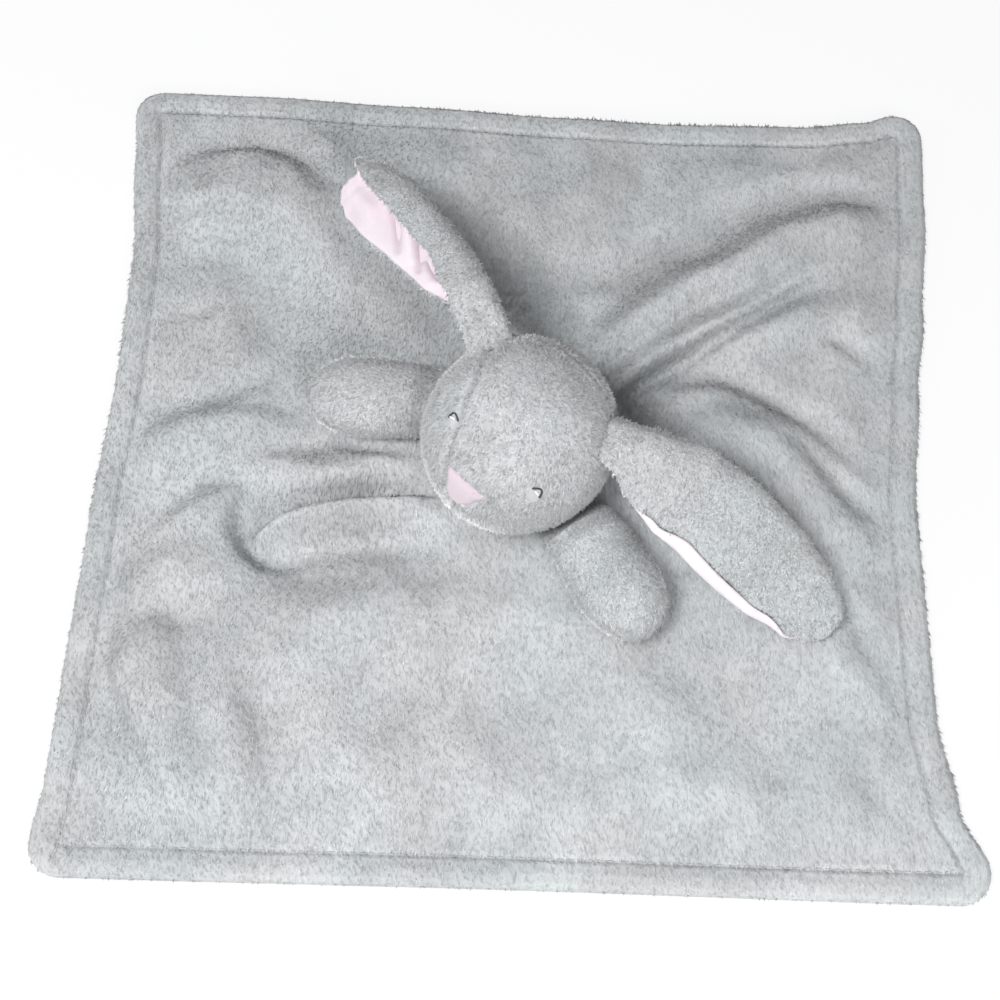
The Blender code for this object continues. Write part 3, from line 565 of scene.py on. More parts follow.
# blanket cloth
# All in millimetres: x, y, height, reach to the left of the line, reach to its right.
blanket = {
    "side": 330, "cornerRadius": 11, "thickness": 2.4, "gap": 0.3, "hemWidth": 10.5,
    "hemPuff": 0.7, "stitchDip": 0.8, "edgeDrop": 1.3, "edgeRounding": 2.0, "tableStrip": 15,
    "lift": 4.0, "liftFrom": 13, "liftRun": 26, "foldFrom": 11, "foldRun": 13, "softness": 1.4,
    "foldShare": 1.2, "foldSteps": 5,
    "neckLift": 9.0, "neckFlat": 29, "neckRun": 32, "neckFade": 14,
    "grooveIn": 1.6, "grooveOut": 1.8, "stripPast": 3,
    "cells": 216, "backCells": 90,
}
sideDraw = {    # how far each side is drawn in, along it from -1 to 1
    "left": (7.8, ((-0.93, 0), (-0.8, 0.3), (-0.6, 0.4), (-0.2, 0.6), (0.2, 0.95), (0.5, 0.9),
                   (0.8, 0.3), (0.93, 0))),
    "right": (15.0, ((-0.93, 0), (-0.8, 0.6), (-0.6, 0.95), (-0.1, 1), (0.2, 0.7), (0.4, 0.4),
                     (0.7, 0.1), (0.93, 0))),
    "top": (8.0, ((-0.93, 0), (-0.7, 0.05), (-0.3, 0.4), (0.1, 0.8), (0.35, 1), (0.7, 0.9),
                  (0.85, 0.5), (0.93, 0))),
    "bottom": (0.6, ((-0.93, 0), (0, 1), (0.93, 0))),
}
folds = {
    "pleatBehindHead": ((24, 15, 6, 12, 6), (36, 26, 8, 9, 5), (54, 42, 8, 9, 5),
                        (74, 56, 7, 9, 5), (95, 70, 5.5, 9, 6), (116, 84, 3.5, 10, 8),
                        (135, 95, 1, 9, 9)),
    "creaseUnderPleat": ((36, 19, -2, 4, 5), (53, 34, -3, 4, 6), (71, 47, -3, 4, 6),
                         (88, 58, -2, 5, 7), (106, 70, -1, 5, 8)),
    "swellUnderEar": ((46, 3, 3, 18, 20), (69, 11, 8, 22, 34), (88, 5, 7, 22, 36), (107, -10, 3.6, 20, 34),
                      (122, -31, 0.6, 14, 22)),
    "pleatTop": ((24, 36, 3, 14, 16), (40, 50, 8, 15, 17), (56, 63, 9.5, 15, 17), (79, 80, 10, 15, 18),
                 (102, 95, 9, 15, 18), (122, 104, 6, 14, 16), (138, 109, 2, 10, 12)),
    "valleyAbovePleat": ((10, 76, -1.5, 14, 14), (36, 79, -3, 15, 14), (59, 93, -4, 14, 14),
                         (82, 109, -4.5, 13, 13), (106, 121, -4.5, 12, 12), (132, 123, -5, 10, 10),
                         (148, 118, -2, 8, 8)),
    "pocketBehindEar": ((36, 14, -9, 10, 16), (50, 15, -8, 10, 18), (64, 15, -5, 11, 18),
                        (84, 16, -2, 12, 15)),
    "shoulderAtRight": ((66, 50, 1, 10, 11), (88, 54, 3.5, 13, 13), (108, 60, 4, 15, 14),
                        (130, 65, 1.5, 12, 12)),
    "valleyAtRight": ((58, 33, -1.5, 9, 9), (77, 35, -3.6, 9, 10), (95, 27, -3.6, 9, 10),
                      (111, 16, -3.6, 9, 9), (125, 4, -3, 8, 9), (141, -8, -1.5, 8, 8)),
    "secondValleyAtRight": ((106, 5, -1, 7, 8), (120, -8, -3, 7, 8), (132, -18, -3, 7, 8),
                            (144, -25, -1.4, 7, 7)),
    "ridgeAtRight": ((114, -20, 0.4, 8, 9), (127, -31, 0.8, 8, 9), (142, -41, 0.4, 8, 8)),
    "shortCreaseUnderPleat": ((116, 56, -1, 8, 7), (128, 50, -2.4, 8, 7), (144, 40, -1, 8, 7)),
    "hemCreasesAtRight": ((110, -48, -1, 8, 7), (121, -62, -1.8, 8, 7), (131, -77, -1.6, 8, 7),
                          (141, -90, -1, 7, 6)),
    "ridgeByHemAtRight": ((112, -72, 0.6, 8, 8), (124, -86, 1.4, 9, 8), (134, -101, 1.2, 8, 7),
                          (144, -112, 0.6, 7, 6)),
    "shortCreaseAtRight": ((112, -98, -0.6, 7, 6), (126, -103, -1, 7, 7), (146, -111, -0.6, 7, 7)),
    "ridgeAtFrontRight": ((100, -98, 0.6, 16, 16), (112, -120, 1.8, 16, 18), (116, -146, 1.2, 13, 14)),
    "lowGroundAtFrontRight": ((96, -104, -2, 30, 30), (118, -116, -3.6, 36, 30), (138, -128, -4, 40, 26),
                                (148, -146, -3, 40, 20)),
    "valleyAtFrontRight": ((84, -92, -0.6, 13, 13), (88, -118, -1, 14, 13), (90, -146, -0.6, 12, 11)),
    "chinFold": ((-96, -41, 7, 7, 7), (-88, -38, 9, 5, 9), (-78, -35, 10, 4.5, 10),
                 (-62, -31.5, 10, 4.5, 11), (-44, -28, 9.5, 4.5, 12), (-24, -25, 6.5, 7, 13)),
    "shelfAboveChinFold": ((-96, -14, 1.5, 12, 9), (-76, -14, 4.5, 15, 9), (-56, -9, 4.5, 14, 9),
                           (-40, -4, 1.5, 10, 8)),
    "creaseOverChinFold": ((-94, -32, -1, 5, 4), (-67, -25, -2.8, 5, 4), (-50, -19, -3.6, 5, 4),
                           (-34, -13, -3.8, 6, 5)),
    "hollowRoundFoldTip": ((-94, -16, -2, 10, 9), (-100, -24, -5.5, 13, 10), (-102, -36, -7, 13, 10),
                           (-95, -45, -6.5, 12, 10), (-84, -47, -4, 11, 10)),
    "swellLeftOfFold": ((-126, -14, 0.5, 14, 14), (-120, -28, 2, 16, 16), (-114, -44, 2.6, 15, 18),
                        (-104, -56, 2.4, 14, 18), (-88, -62, 1.5, 12, 16), (-72, -64, 0.5, 10, 14)),
    "valleyUnderChinFold": ((-90, -44, -2, 8, 10), (-69, -43, -3.4, 8, 11), (-40, -39.5, -3.4, 8, 11),
                            (-10, -36, -2.5, 8, 11), (14, -37, -1, 9, 10)),
    "ridgeUnderValley": ((-104, -76, 1.5, 20, 26), (-72, -74, 4.5, 24, 34), (-36, -68, 5, 24, 38),
                         (0, -62, 4, 22, 38), (30, -72, 1.2, 16, 26)),
    "ridgeBesideArm": ((-152, -3, 2, 11, 16), (-138, 0, 3, 10, 18), (-121, 4, 3, 10, 18),
                       (-104, 8, 3, 10, 18), (-90, 8, 1, 8, 12)),
    "creaseBesideArm": ((-156, 12, -1, 8, 8), (-134, 14, -2.4, 9, 8), (-116, 19, -2.6, 9, 8),
                        (-102, 27, -2, 10, 8)),
    "creaseUnderArm": ((-68, 0, -1, 5, 5), (-54, -3, -2.6, 5, 5), (-38, -5, -2.2, 5, 5)),
    "hollowLeftOfArm": ((-114, 86, -1, 20, 20), (-101, 66, -3.6, 26, 22), (-95, 50, -4.2, 28, 20),
                        (-96, 34, -2, 20, 14)),
    "ridgeBehindRightEar": ((-86, 96, 0.6, 14, 14), (-70, 76, 1.4, 16, 14), (-54, 58, 1.6, 16, 13),
                            (-40, 46, 1, 12, 10)),
    "valleyAtLeft": ((-154, -44, -1.5, 9, 8), (-134, -31, -3, 10, 8), (-118, -20, -3, 10, 8),
                     (-106, -16, -1.5, 8, 7)),
    "ridgeAtLeft": ((-152, -66, 1.5, 13, 15), (-136, -58, 2.6, 15, 17), (-120, -56, 2, 15, 17),
                    (-108, -66, 0.8, 12, 12)),
    "ridgeAtFrontLeft": ((-145, -72, 1.5, 38, 9), (-139, -92, 6.5, 48, 10), (-127, -116, 7, 48, 10),
                         (-116, -138, 6, 40, 10), (-110, -152, 2, 24, 10)),
    "hollowAtFrontLeft": ((-128, -60, -1, 12, 12), (-118, -76, -2.6, 13, 13), (-112, -96, -2, 12, 12),
                          (-106, -116, -1, 10, 12)),
    "dimpleAtFrontLeft": ((-150, -126, -1, 7, 7), (-138, -142, -3, 8, 8), (-126, -153, -1.5, 7, 7)),
    "lowRidgeAtFrontLeft": ((-108, -82, 0.8, 14, 14), (-98, -110, 2.4, 14, 16), (-92, -142, 1.2, 12, 14)),
    "creaseAtTopLeft": ((-160, 126, -2, 10, 9), (-134, 139, -5, 13, 12), (-112, 142, -6, 15, 13),
                        (-94, 136, -5, 14, 14), (-84, 122, -2, 12, 12)),
    "softRidgeAtTopLeft": ((-146, 98, 1.5, 20, 14), (-128, 106, 4.5, 32, 18), (-108, 109, 5.5, 34, 20),
                           (-92, 102, 3, 26, 16), (-84, 92, 1, 14, 12)),
    "secondCreaseAtTopLeft": ((-154, 96, -1, 7, 6), (-140, 102, -2, 8, 7), (-122, 106, -1, 8, 7)),
    "thirdCreaseAtTopLeft": ((-154, 74, -1, 7, 6), (-138, 79, -1.8, 8, 7), (-120, 80, -0.8, 8, 7)),
    "fourthCreaseAtTopLeft": ((-154, 52, -1, 7, 6), (-138, 56, -2, 8, 7), (-122, 60, -1, 8, 7)),
    "dipUnderTopHem": ((10, 154, -2, 10, 15), (15, 134, -3.4, 10, 16), (12, 112, -1.5, 11, 14)),
    "secondDipUnderTopHem": ((46, 142, -1, 10, 11), (50, 122, -2.2, 10, 12), (44, 102, -1, 10, 11)),
    "lowHollow": ((-30, -84, -1, 20, 20), (-6, -100, -2, 22, 24), (16, -118, -1, 20, 20)),
    "lowSwell": ((-76, -92, 1, 18, 18), (-58, -116, 2.4, 18, 20), (-40, -140, 1, 16, 16)),
    "swellByLeftArm": ((34, -86, 1, 18, 18), (54, -102, 2.4, 18, 18), (60, -128, 1.2, 16, 16)),
}
# waves to a metre, and their height
undulation = {"broad": (22, 1.5), "middle": (48, 0.8), "fine": (95, 0.35)}
warp = {"waves": 26, "shift": 3.0}      # how the lines of the folds wander
leaning = {     # folds that tip over to one side: x and y that the crest moves
    "pleatBehindHead": (1.1, -1.6), "chinFold": (-0.6, 2.6),
}


def foldHeight(rows, x, y):
    # height that one fold adds, from the nearest point of its line
    rows = smoothRows(np.array(rows, float), blanket["foldSteps"])
    best = np.full(x.shape, 1e9)
    reach = np.ones(x.shape)
    height = np.zeros(x.shape)
    for start, end in zip(rows, rows[1:]):
        dx, dy = end[0] - start[0], end[1] - start[1]
        along = np.clip(((x - start[0]) * dx + (y - start[1]) * dy) / (dx * dx + dy * dy), 0, 1)
        offX, offY = x - start[0] - dx * along, y - start[1] - dy * along
        distance = np.hypot(offX, offY)
        left = dx * offY - dy * offX > 0
        here = np.where(left, start[3] + (end[3] - start[3]) * along,
                        start[4] + (end[4] - start[4]) * along)
        nearer = distance < best
        best = np.where(nearer, distance, best)
        reach = np.where(nearer, here, reach)
        height = np.where(nearer, start[2] + (end[2] - start[2]) * along, height)
    return height * np.where(best < reach, 0.5 + 0.5 * np.cos(np.pi * best / reach), 0)


def wanderPlaces(x, y):
    drift = np.array([noise.noise_vector(Vector((a, c, 900)) * (warp["waves"] * mm))
                      for a, c in zip(x, y)]) * warp["shift"]
    return x + drift[:, 0], y + drift[:, 1]


def clothLift(x, y, inside):
    b = blanket
    wandered = wanderPlaces(x, y)
    lift = b["lift"] * ease((inside - b["liftFrom"]) / b["liftRun"])
    lift = lift + b["foldShare"] * sum(foldHeight(rows, *wandered) for rows in folds.values())
    for waves, height in undulation.values():
        lift = lift + height * np.array([noise.noise(Vector((a, c, 3000)) * (waves * mm))
                                         for a, c in zip(x, y)])
    lift = b["softness"] * np.log1p(np.exp(lift / b["softness"]))
    lift = lift * ease((inside - b["foldFrom"]) / b["foldRun"])
    fromNeck = np.hypot(x - head["place"][0], y - head["place"][1])
    seat = 1 - ease((fromNeck - b["neckFlat"]) / b["neckRun"])
    mound = lift + (b["neckLift"] - lift) * seat
    beyond = ease((fromNeck - b["neckFlat"]) / b["neckFade"])
    return b["neckLift"] + (np.maximum(lift, mound) - b["neckLift"]) * beyond


def hemProfile(inside):
    b = blanket
    rows = ((0, -b["edgeDrop"]), (b["edgeRounding"], b["hemPuff"] * 0.5),
            (b["hemWidth"] * 0.5, b["hemPuff"]), (b["hemWidth"] - b["grooveIn"], b["hemPuff"] * 0.45),
            (b["hemWidth"], -b["stitchDip"]), (b["hemWidth"] + b["grooveOut"], b["hemPuff"] * 0.3),
            (b["tableStrip"] + b["stripPast"], b["hemPuff"] * 0.4),
            (b["tableStrip"] + b["liftRun"], 0))
    return readTable(rows, inside)


def drawIn(x, y):
    half = blanket["side"] / 2
    u, v = x / half, y / half
    draw = {side: most * readTable(rows, v if side in ("left", "right") else u)
            for side, (most, rows) in sideDraw.items()}
    return (x + draw["left"] * (1 - u) / 2 - draw["right"] * (1 + u) / 2,
            y + draw["bottom"] * (1 - v) / 2 - draw["top"] * (1 + v) / 2)


def clothPlaces(x, y, base, shaped):
    # places on a cloth panel from places on the flat square
    half, radius = blanket["side"] / 2, blanket["cornerRadius"]
    inside = half - np.maximum(abs(x), abs(y))
    px, py = abs(x) - (half - radius), abs(y) - (half - radius)
    inCorner = (px > 0) & (py > 0)
    scale = np.where(inCorner, np.maximum(px, py) / np.maximum(np.hypot(px, py), 1e-9), 1)
    x = np.where(inCorner, np.copysign(half - radius + px * scale, x), x)
    y = np.where(inCorner, np.copysign(half - radius + py * scale, y), y)
    x, y = drawIn(x, y)
    z = clothLift(x, y, inside) + base
    wandered = wanderPlaces(x, y)
    for name, (leanX, leanY) in leaning.items():
        most = max(row[2] for row in folds[name])
        share = ease(foldHeight(folds[name], *wandered) / most)
        x, y = x + leanX * share, y + leanY * share
    z = z + np.where(shaped, hemProfile(inside), 0)
    z = z + np.where((base == 0) & (inside <= 0), blanket["edgeDrop"] / 2, 0)
    return np.stack((x, y, z), axis=-1) * mm


def clothLines(cells):
    # closer grid lines in the hem than in the field
    half, hem = blanket["side"] / 2, blanket["hemWidth"] + blanket["stripPast"]
    hemCells = max(6, cells // 12)
    rim = np.linspace(0, hem, hemCells + 1)
    field = np.linspace(-half + hem, half - hem, cells - 2 * hemCells + 1)
    return np.concatenate((-half + rim[:-1], field, half - rim[:-1][::-1]))


def buildClothPanel(name, cells, base, shaped, material):
    lines = clothLines(cells)
    bm = slab(cells, cells)
    flat = meshPlaces(bm)
    x = lines[np.rint((flat[:, 0] + 1) / 2 * cells).astype(int)]
    y = lines[np.rint((flat[:, 1] + 1) / 2 * cells).astype(int)]
    upper = flat[:, 2] > 0.5
    bases = base + np.where(upper, blanket["thickness"], 0)
    setPlaces(bm, clothPlaces(x, y, bases, upper & shaped))
    return addPiece(name, bm, material)


# the cloth rises to the neck, so the head's sizes come before the cloth is laid
head = {
    "place": (-1.0, -12.7, 45.3), "front": 35.2, "side": 33.7, "up": 35.2, "neckCut": 30.6,
    "yaw": 235.3, "pitch": 18.2, "roll": -11.3, "cells": 96,
    "gussetSeam": ((16.4, 2.9), (59.6, 43.3), (111.5, 35.3)), "crownSeamBack": 15.5,
    "chinSeam": -14.0, "seamDepth": 0.9, "seamWidth": 1.0, "seamBulge": 0.3,
    "hiddenSeamShare": 0.3, "seamEndBehind": 2, "hiddenFromSide": 4, "hiddenFromCrown": 3,
    "bulgeAt": 2.6, "bulgeWidth": 1.5,
}
topBase = blanket["thickness"] + blanket["gap"]
clothTop = buildClothPanel("blanketTop", blanket["cells"], topBase, True, greyPlush)
clothBack = buildClothPanel("blanketBack", blanket["backCells"], 0.0, False, greyPlush)
clothFace = BVHTree.FromObject(clothTop, bpy.context.evaluated_depsgraph_get())
print("blanket laid")


def clothBelow(place):
    hit = clothFace.ray_cast(Vector((place[0], place[1], 1)), Vector((0, 0, -1)))
    return hit[0].z if hit[0] is not None else 0.0


def threadPiece(name, points, thickness, material, closed=False):
    curve = bpy.data.curves.new(name, "CURVE")
    curve.dimensions = "3D"
    curve.bevel_depth = thickness / 2 * mm
    curve.bevel_resolution = 1 if closed else 3
    curve.use_fill_caps = not closed
    spline = curve.splines.new("POLY")
    spline.points.add(len(points) - 1)
    for point, place in zip(spline.points, points):
        point.co = (*place, 1)
    spline.use_cyclic_u = closed
    guide = bpy.data.objects.new(name + "Guide", curve)
    scene.collection.objects.link(guide)
    mesh = bpy.data.meshes.new_from_object(guide.evaluated_get(bpy.context.evaluated_depsgraph_get()))
    bpy.data.objects.remove(guide)
    bm = bmesh.new()
    bm.from_mesh(mesh)
    bpy.data.meshes.remove(mesh)
    bmesh.ops.remove_doubles(bm, verts=bm.verts[:], dist=0.01 * mm)
    return addPiece(name, bm, material)


def threadMaterial(name, colour, twist):
    material = bpy.data.materials.new(name)
    material.use_nodes = True
    tree = material.node_tree
    shader = tree.nodes["Principled BSDF"]
    shader.inputs["Roughness"].default_value = 0.55
    place = tree.nodes.new("ShaderNodeTexCoord")
    strands = noiseNode(tree, place.outputs["Object"], 3200, 2)
    ramp = tree.nodes.new("ShaderNodeMix")
    ramp.data_type = "RGBA"
    ramp.inputs["A"].default_value = (*(value * (1 - twist) for value in colour), 1)
    ramp.inputs["B"].default_value = (*(min(1, value * (1 + twist)) for value in colour), 1)
    bump = tree.nodes.new("ShaderNodeBump")
    bump.inputs["Strength"].default_value = 0.4
    bump.inputs["Distance"].default_value = 0.2 * mm
    join(tree, (strands.outputs["Fac"], ramp.inputs["Factor"]),
         (ramp.outputs["Result"], shader.inputs["Base Color"]),
         (strands.outputs["Fac"], bump.inputs["Height"]), (bump.outputs[0], shader.inputs["Normal"]))
    return material


greyThread = threadMaterial("greyThread", (0.40, 0.42, 0.43), 0.15)
stitching = {
    "thread": 0.6, "step": 1.0, "stitch": 3.4, "sink": 0.75, "rise": 0.15, "cornerRadius": 6.0,
    "neckOut": 2.9, "neckStitches": 60, "neckRise": 0.1, "cornerSteps": 8,
}


def sewHem():
    # one thread round the blanket, in the groove inside the hem
    side = blanket["side"] / 2 - blanket["hemWidth"]
    straight = side - stitching["cornerRadius"]
    corner = [(straight + stitching["cornerRadius"] * math.cos(turn),
               straight + stitching["cornerRadius"] * math.sin(turn))
              for turn in np.linspace(0, math.pi / 2, stitching["cornerSteps"])[1:-1]]
    quarter = [(side, place) for place in np.arange(-straight, straight + 0.1, stitching["step"])]
    quarter += corner
    points = []
    for corners in range(4):
        turn = corners * math.pi / 2
        points += [(x * math.cos(turn) - y * math.sin(turn), x * math.sin(turn) + y * math.cos(turn))
                   for x, y in quarter]
    x, y = drawIn(np.array([point[0] for point in points]), np.array([point[1] for point in points]))
    sewn = []
    for index, place in enumerate(zip(x, y)):
        spot = Vector((*place, 0)) * mm
        wave = math.cos(2 * math.pi * index * stitching["step"] / stitching["stitch"])
        spot.z = clothBelow(spot) + (stitching["rise"] + stitching["sink"] / 2 * (wave - 1)
                                     + stitching["thread"] / 2) * mm
        sewn.append(spot)
    return threadPiece("hemStitching", sewn, stitching["thread"], greyThread, closed=True)


def sewNeck():
    drop = head["place"][2] - blanket["neckLift"] - topBase
    radius = head["side"] * math.sqrt(1 - (drop / head["up"]) ** 2) + stitching["neckOut"]
    sewn = []
    for turn in np.linspace(0, 2 * math.pi, stitching["neckStitches"], endpoint=False):
        spot = Vector((head["place"][0] + radius * math.cos(turn),
                       head["place"][1] + radius * math.sin(turn), 0)) * mm
        spot.z = clothBelow(spot) + (stitching["thread"] / 2 + stitching["neckRise"]) * mm
        sewn.append(spot)
    return threadPiece("neckStitching", sewn, stitching["thread"], greyThread, closed=True)


hemThread, neckThread = sewHem(), sewNeck()
print("hem and neck stitched")


# head
headMiddle = Vector(head["place"]) * mm
headAxes = Vector((head["front"], head["side"], head["up"])) * mm
headTurn = (Matrix.Rotation(math.radians(head["yaw"]), 3, "Z")
            @ Matrix.Rotation(-math.radians(head["pitch"]), 3, "Y")
            @ Matrix.Rotation(math.radians(head["roll"]), 3, "X"))


def faceDirection(azimuth, rise):
    azimuth, rise = math.radians(azimuth), math.radians(rise)
    return Vector((math.cos(rise) * math.cos(azimuth), math.cos(rise) * math.sin(azimuth),
                   math.sin(rise)))


def headSkin(direction):
    share = Vector((direction.x / headAxes.x, direction.y / headAxes.y, direction.z / headAxes.z))
    return headMiddle + headTurn @ (direction / share.length)


def headDepth(place):
    # how far a place lies inside the head's skin, below zero outside it
    local = headTurn.transposed() @ (Vector(place) - headMiddle)
    share = Vector((local.x / headAxes.x, local.y / headAxes.y, local.z / headAxes.z)).length
    return local.length * (1 / share - 1)


def gussetPlane(side):
    corners = [headSkin(faceDirection(side * azimuth, rise)) for azimuth, rise in head["gussetSeam"]]
    normal = (corners[1] - corners[0]).cross(corners[2] - corners[0]).normalized()
    if normal.dot(headTurn @ Vector((0, side, 0))) < 0:
        normal = -normal
    return np.array(corners[0]), np.array(normal)


def buildHead():
    bm = bmesh.new()
    bmesh.ops.create_cube(bm, size=2)
    bmesh.ops.subdivide_edges(bm, edges=bm.edges[:], cuts=head["cells"] - 1, use_grid_fill=True)
    even = np.tan(meshPlaces(bm) * math.pi / 4)
    even /= np.linalg.norm(even, axis=1)[:, None]
    axes, turn = np.array(headAxes), np.array(headTurn)
    local = even / np.linalg.norm(even / axes, axis=1)[:, None]
    places = np.array(headMiddle) + local @ turn.T
    outward = even @ turn.T

    forward, up = turn[:, 0], turn[:, 2]
    crown = (places - np.array(headMiddle)) @ forward + head["crownSeamBack"] * mm
    sides = [(places - spot) @ normal for spot, normal in (gussetPlane(1), gussetPlane(-1))]
    chin = (places - np.array(headSkin(faceDirection(0, head["chinSeam"])))) @ up
    inGusset = (sides[0] < 0) & (sides[1] < 0) & (crown > 0) & (chin > 0)
    gusset = np.maximum(np.maximum(sides[0], sides[1]), np.maximum(-crown, -chin))
    middle = abs((places - np.array(headMiddle)) @ turn[:, 1])
    seams = [np.where(crown > -head["seamEndBehind"] * mm, abs(gusset), 1), abs(crown),
             np.where(~inGusset & (crown > 0) & (chin < 0), middle, 1)]
    nearest = np.minimum.reduce(seams) / mm
    # the pile is brushed over the seam on the left of the face
    leftward = (places - np.array(headMiddle)) @ turn[:, 1]
    onLeft = (leftward > head["hiddenFromSide"] * mm) & (crown > head["hiddenFromCrown"] * mm)
    shown = np.where(onLeft, head["hiddenSeamShare"], 1)
    groove = shown * head["seamDepth"] * np.exp(-(nearest / head["seamWidth"]) ** 2)
    bulge = shown * head["seamBulge"] * np.exp(-((nearest - head["bulgeAt"]) / head["bulgeWidth"]) ** 2)
    places += outward * ((bulge - groove) * mm)[:, None]
    floor = (head["place"][2] - head["neckCut"]) * mm
    places[:, 2] = np.maximum(places[:, 2], floor)
    setPlaces(bm, places)
    return addPiece("headSkin", bm, greyPlush)


headPiece = buildHead()
headFace = BVHTree.FromObject(headPiece, bpy.context.evaluated_depsgraph_get())
print("head stuffed")


def faceFrame(angles):
    direction = faceDirection(*angles)
    place = headSkin(direction)
    outward = (place - headMiddle).normalized()
    left = (headTurn @ Vector((0, 0, 1))).cross(outward).normalized()
    return place, outward, left, outward.cross(left)


def onHead(place, outward, clearance):
    hit = headFace.ray_cast(place + outward * headAxes.z, -outward)
    return hit[0] + outward * clearance


nose = {
    "width": 18.5, "height": 13.5, "thickness": 1.5, "place": (-1.5, -3.0), "cells": 40,
    "widths": ((-1, 0.22), (0, 0.66), (1, 1.0)), "cornerShare": 0.12, "edge": 0.12, "clear": 0.1,
}
eyes = {
    "right": (-34.5, 24.5), "left": (37.5, 22.0), "widths": {"right": 4.0, "left": 5.0},
    "turnsDeg": {"right": 40, "left": -40}, "arch": 2.2, "thread": 0.7,
    "glintWidth": 2.2, "glintDrop": 1.8, "steps": 24, "lidRise": 0.35, "glintRise": 0.4,
}


def buildNose():
    place, outward, left, up = faceFrame(nose["place"])
    bm = slab(nose["cells"], nose["cells"])
    for vert in bm.verts:
        across, rise, upper = vert.co.x, vert.co.y, vert.co.z > 0.5
        rounding = 1 - nose["cornerShare"] * across * across * rise * rise
        taper = float(readTable(nose["widths"], np.array(rise)))
        side = left * (nose["width"] / 2 * mm * across * taper * rounding)
        height = up * (nose["height"] / 2 * mm * rise * rounding)
        rim = (1 - abs(across) ** 6) * (1 - abs(rise) ** 6)
        thick = nose["thickness"] * (nose["edge"] + (1 - nose["edge"]) * rim)
        vert.co = onHead(place + side + height, outward, (nose["clear"] + (thick if upper else 0)) * mm)
    return addPiece("nosePatch", bm, nosePlush)


blackThread = threadMaterial("blackThread", (0.035, 0.035, 0.042), 0.5)
whiteThread = threadMaterial("whiteThread", (0.88, 0.88, 0.90), 0.08)


def buildEye(side):
    place, outward, left, up = faceFrame(eyes[side])
    turn = Matrix.Rotation(math.radians(eyes["turnsDeg"][side]), 3, outward)
    left, up = turn @ left, turn @ up
    lid, glint = [], []
    for step in range(eyes["steps"] + 1):
        share = 2 * step / eyes["steps"] - 1
        rise = eyes["arch"] * (1 - share * share)
        spot = place + left * (eyes["widths"][side] / 2 * mm * share) + up * (rise * mm)
        lid.append(onHead(spot, outward, eyes["lidRise"] * mm))
        spot = place + left * (eyes["glintWidth"] / 2 * mm * share)
        spot += up * ((eyes["arch"] - eyes["glintDrop"]) * mm)
        glint.append(onHead(spot, outward, eyes["glintRise"] * mm))
    return (threadPiece(side + "Eye", lid, eyes["thread"], blackThread),
            threadPiece(side + "EyeGlint", glint, eyes["thread"], whiteThread))


nosePiece = buildNose()
eyePieces = {side: buildEye(side) for side in ("right", "left")}
print("face sewn")


# ears
ears = {
    "length": 118.0, "width": 45.5, "outerPuff": 3.2, "liningPuff": 1.5, "rim": 1.0, "gap": 0.3,
    "rimReach": 1.03, "rimShare": 0.6, "rootClearance": 0.5, "clothClearance": 0.3,
    # among these is the crease depth, in mm, at which the lining's painted shade is darkest
    "hugReach": 8.0, "hugGap": -0.6, "hugShare": 0.16, "creaseWidth": 18.0, "creaseShadeDepth": 2.4,
    "cells": (120, 48), "bendSteps": 6, "stations": 10, "pushes": 6, "pushPoints": 12,
    "bendShare": 0.24,
    "puffs": ((0, 0.10), (0.22, 1), (0.75, 1), (1, 0.25)),
}
earShapes = {
    "earRight": {
        "root": (-103.6, 43.6), "outerSide": -1,
        "line": ((-0.03, 0.035, -0.03), (-0.105, 0.215, -0.03), (-0.34, 0.56, -0.18),
                 (-0.505, 0.80, -0.335)),
        "widths": ((0, 0.58), (0.1, 0.50), (0.22, 0.57), (0.4, 0.69), (0.6, 0.78), (0.75, 0.84),
                   (0.87, 0.78), (0.94, 0.62), (0.98, 0.42), (1, 0.26)),
        "bend": ((-1, 2), (-0.5, 8), (-0.22, 22), (0, 80), (0.16, 136), (0.32, 166), (0.6, 172),
                 (1, 176)),
        "curl": ((0, 1.02), (0.2, 1.02), (0.5, 1), (0.8, 0.94), (0.92, 0.85), (1, 0.55)),
        "roll": ((0, 8), (0.15, 10), (0.5, 13), (1, 12)),
        "foldAt": ((0, -0.34), (0.12, -0.28), (0.26, 0.02), (0.42, 0.26), (0.75, 0.28), (1, 0.34)),
        "edge": 4,
    },
    "earLeft": {
        "root": (103.6, 41.0), "outerSide": 1,
        "line": ((0, 0, 0), (0.155, -0.088, 0.0), (0.392, -0.25, -0.245), (0.705, -0.405, -0.405)),
        "widths": ((0, 0.38), (0.08, 0.45), (0.22, 0.64), (0.40, 0.87), (0.58, 0.94), (0.75, 0.88),
                   (0.88, 0.72), (0.95, 0.52), (0.985, 0.36), (1, 0.24)),
        "bend": ((-1, -165), (-0.92, -148), (-0.83, -95), (-0.75, -36), (-0.64, 0), (-0.5, 8),
                 (-0.2, 12), (0.2, 6), (0.6, -5), (0.85, -20), (1, -48)),
        "curl": ((0, 0.9), (0.3, 1), (0.8, 0.95), (1, 0.8)),
        "roll": ((0, 4), (0.3, 8), (0.7, 11), (1, 14)),
        "foldAt": ((0, -0.46), (0.18, -0.38), (0.36, -0.08), (0.5, 0.03), (0.8, -0.02), (1, -0.25)),
        "edge": 8,
    },
}
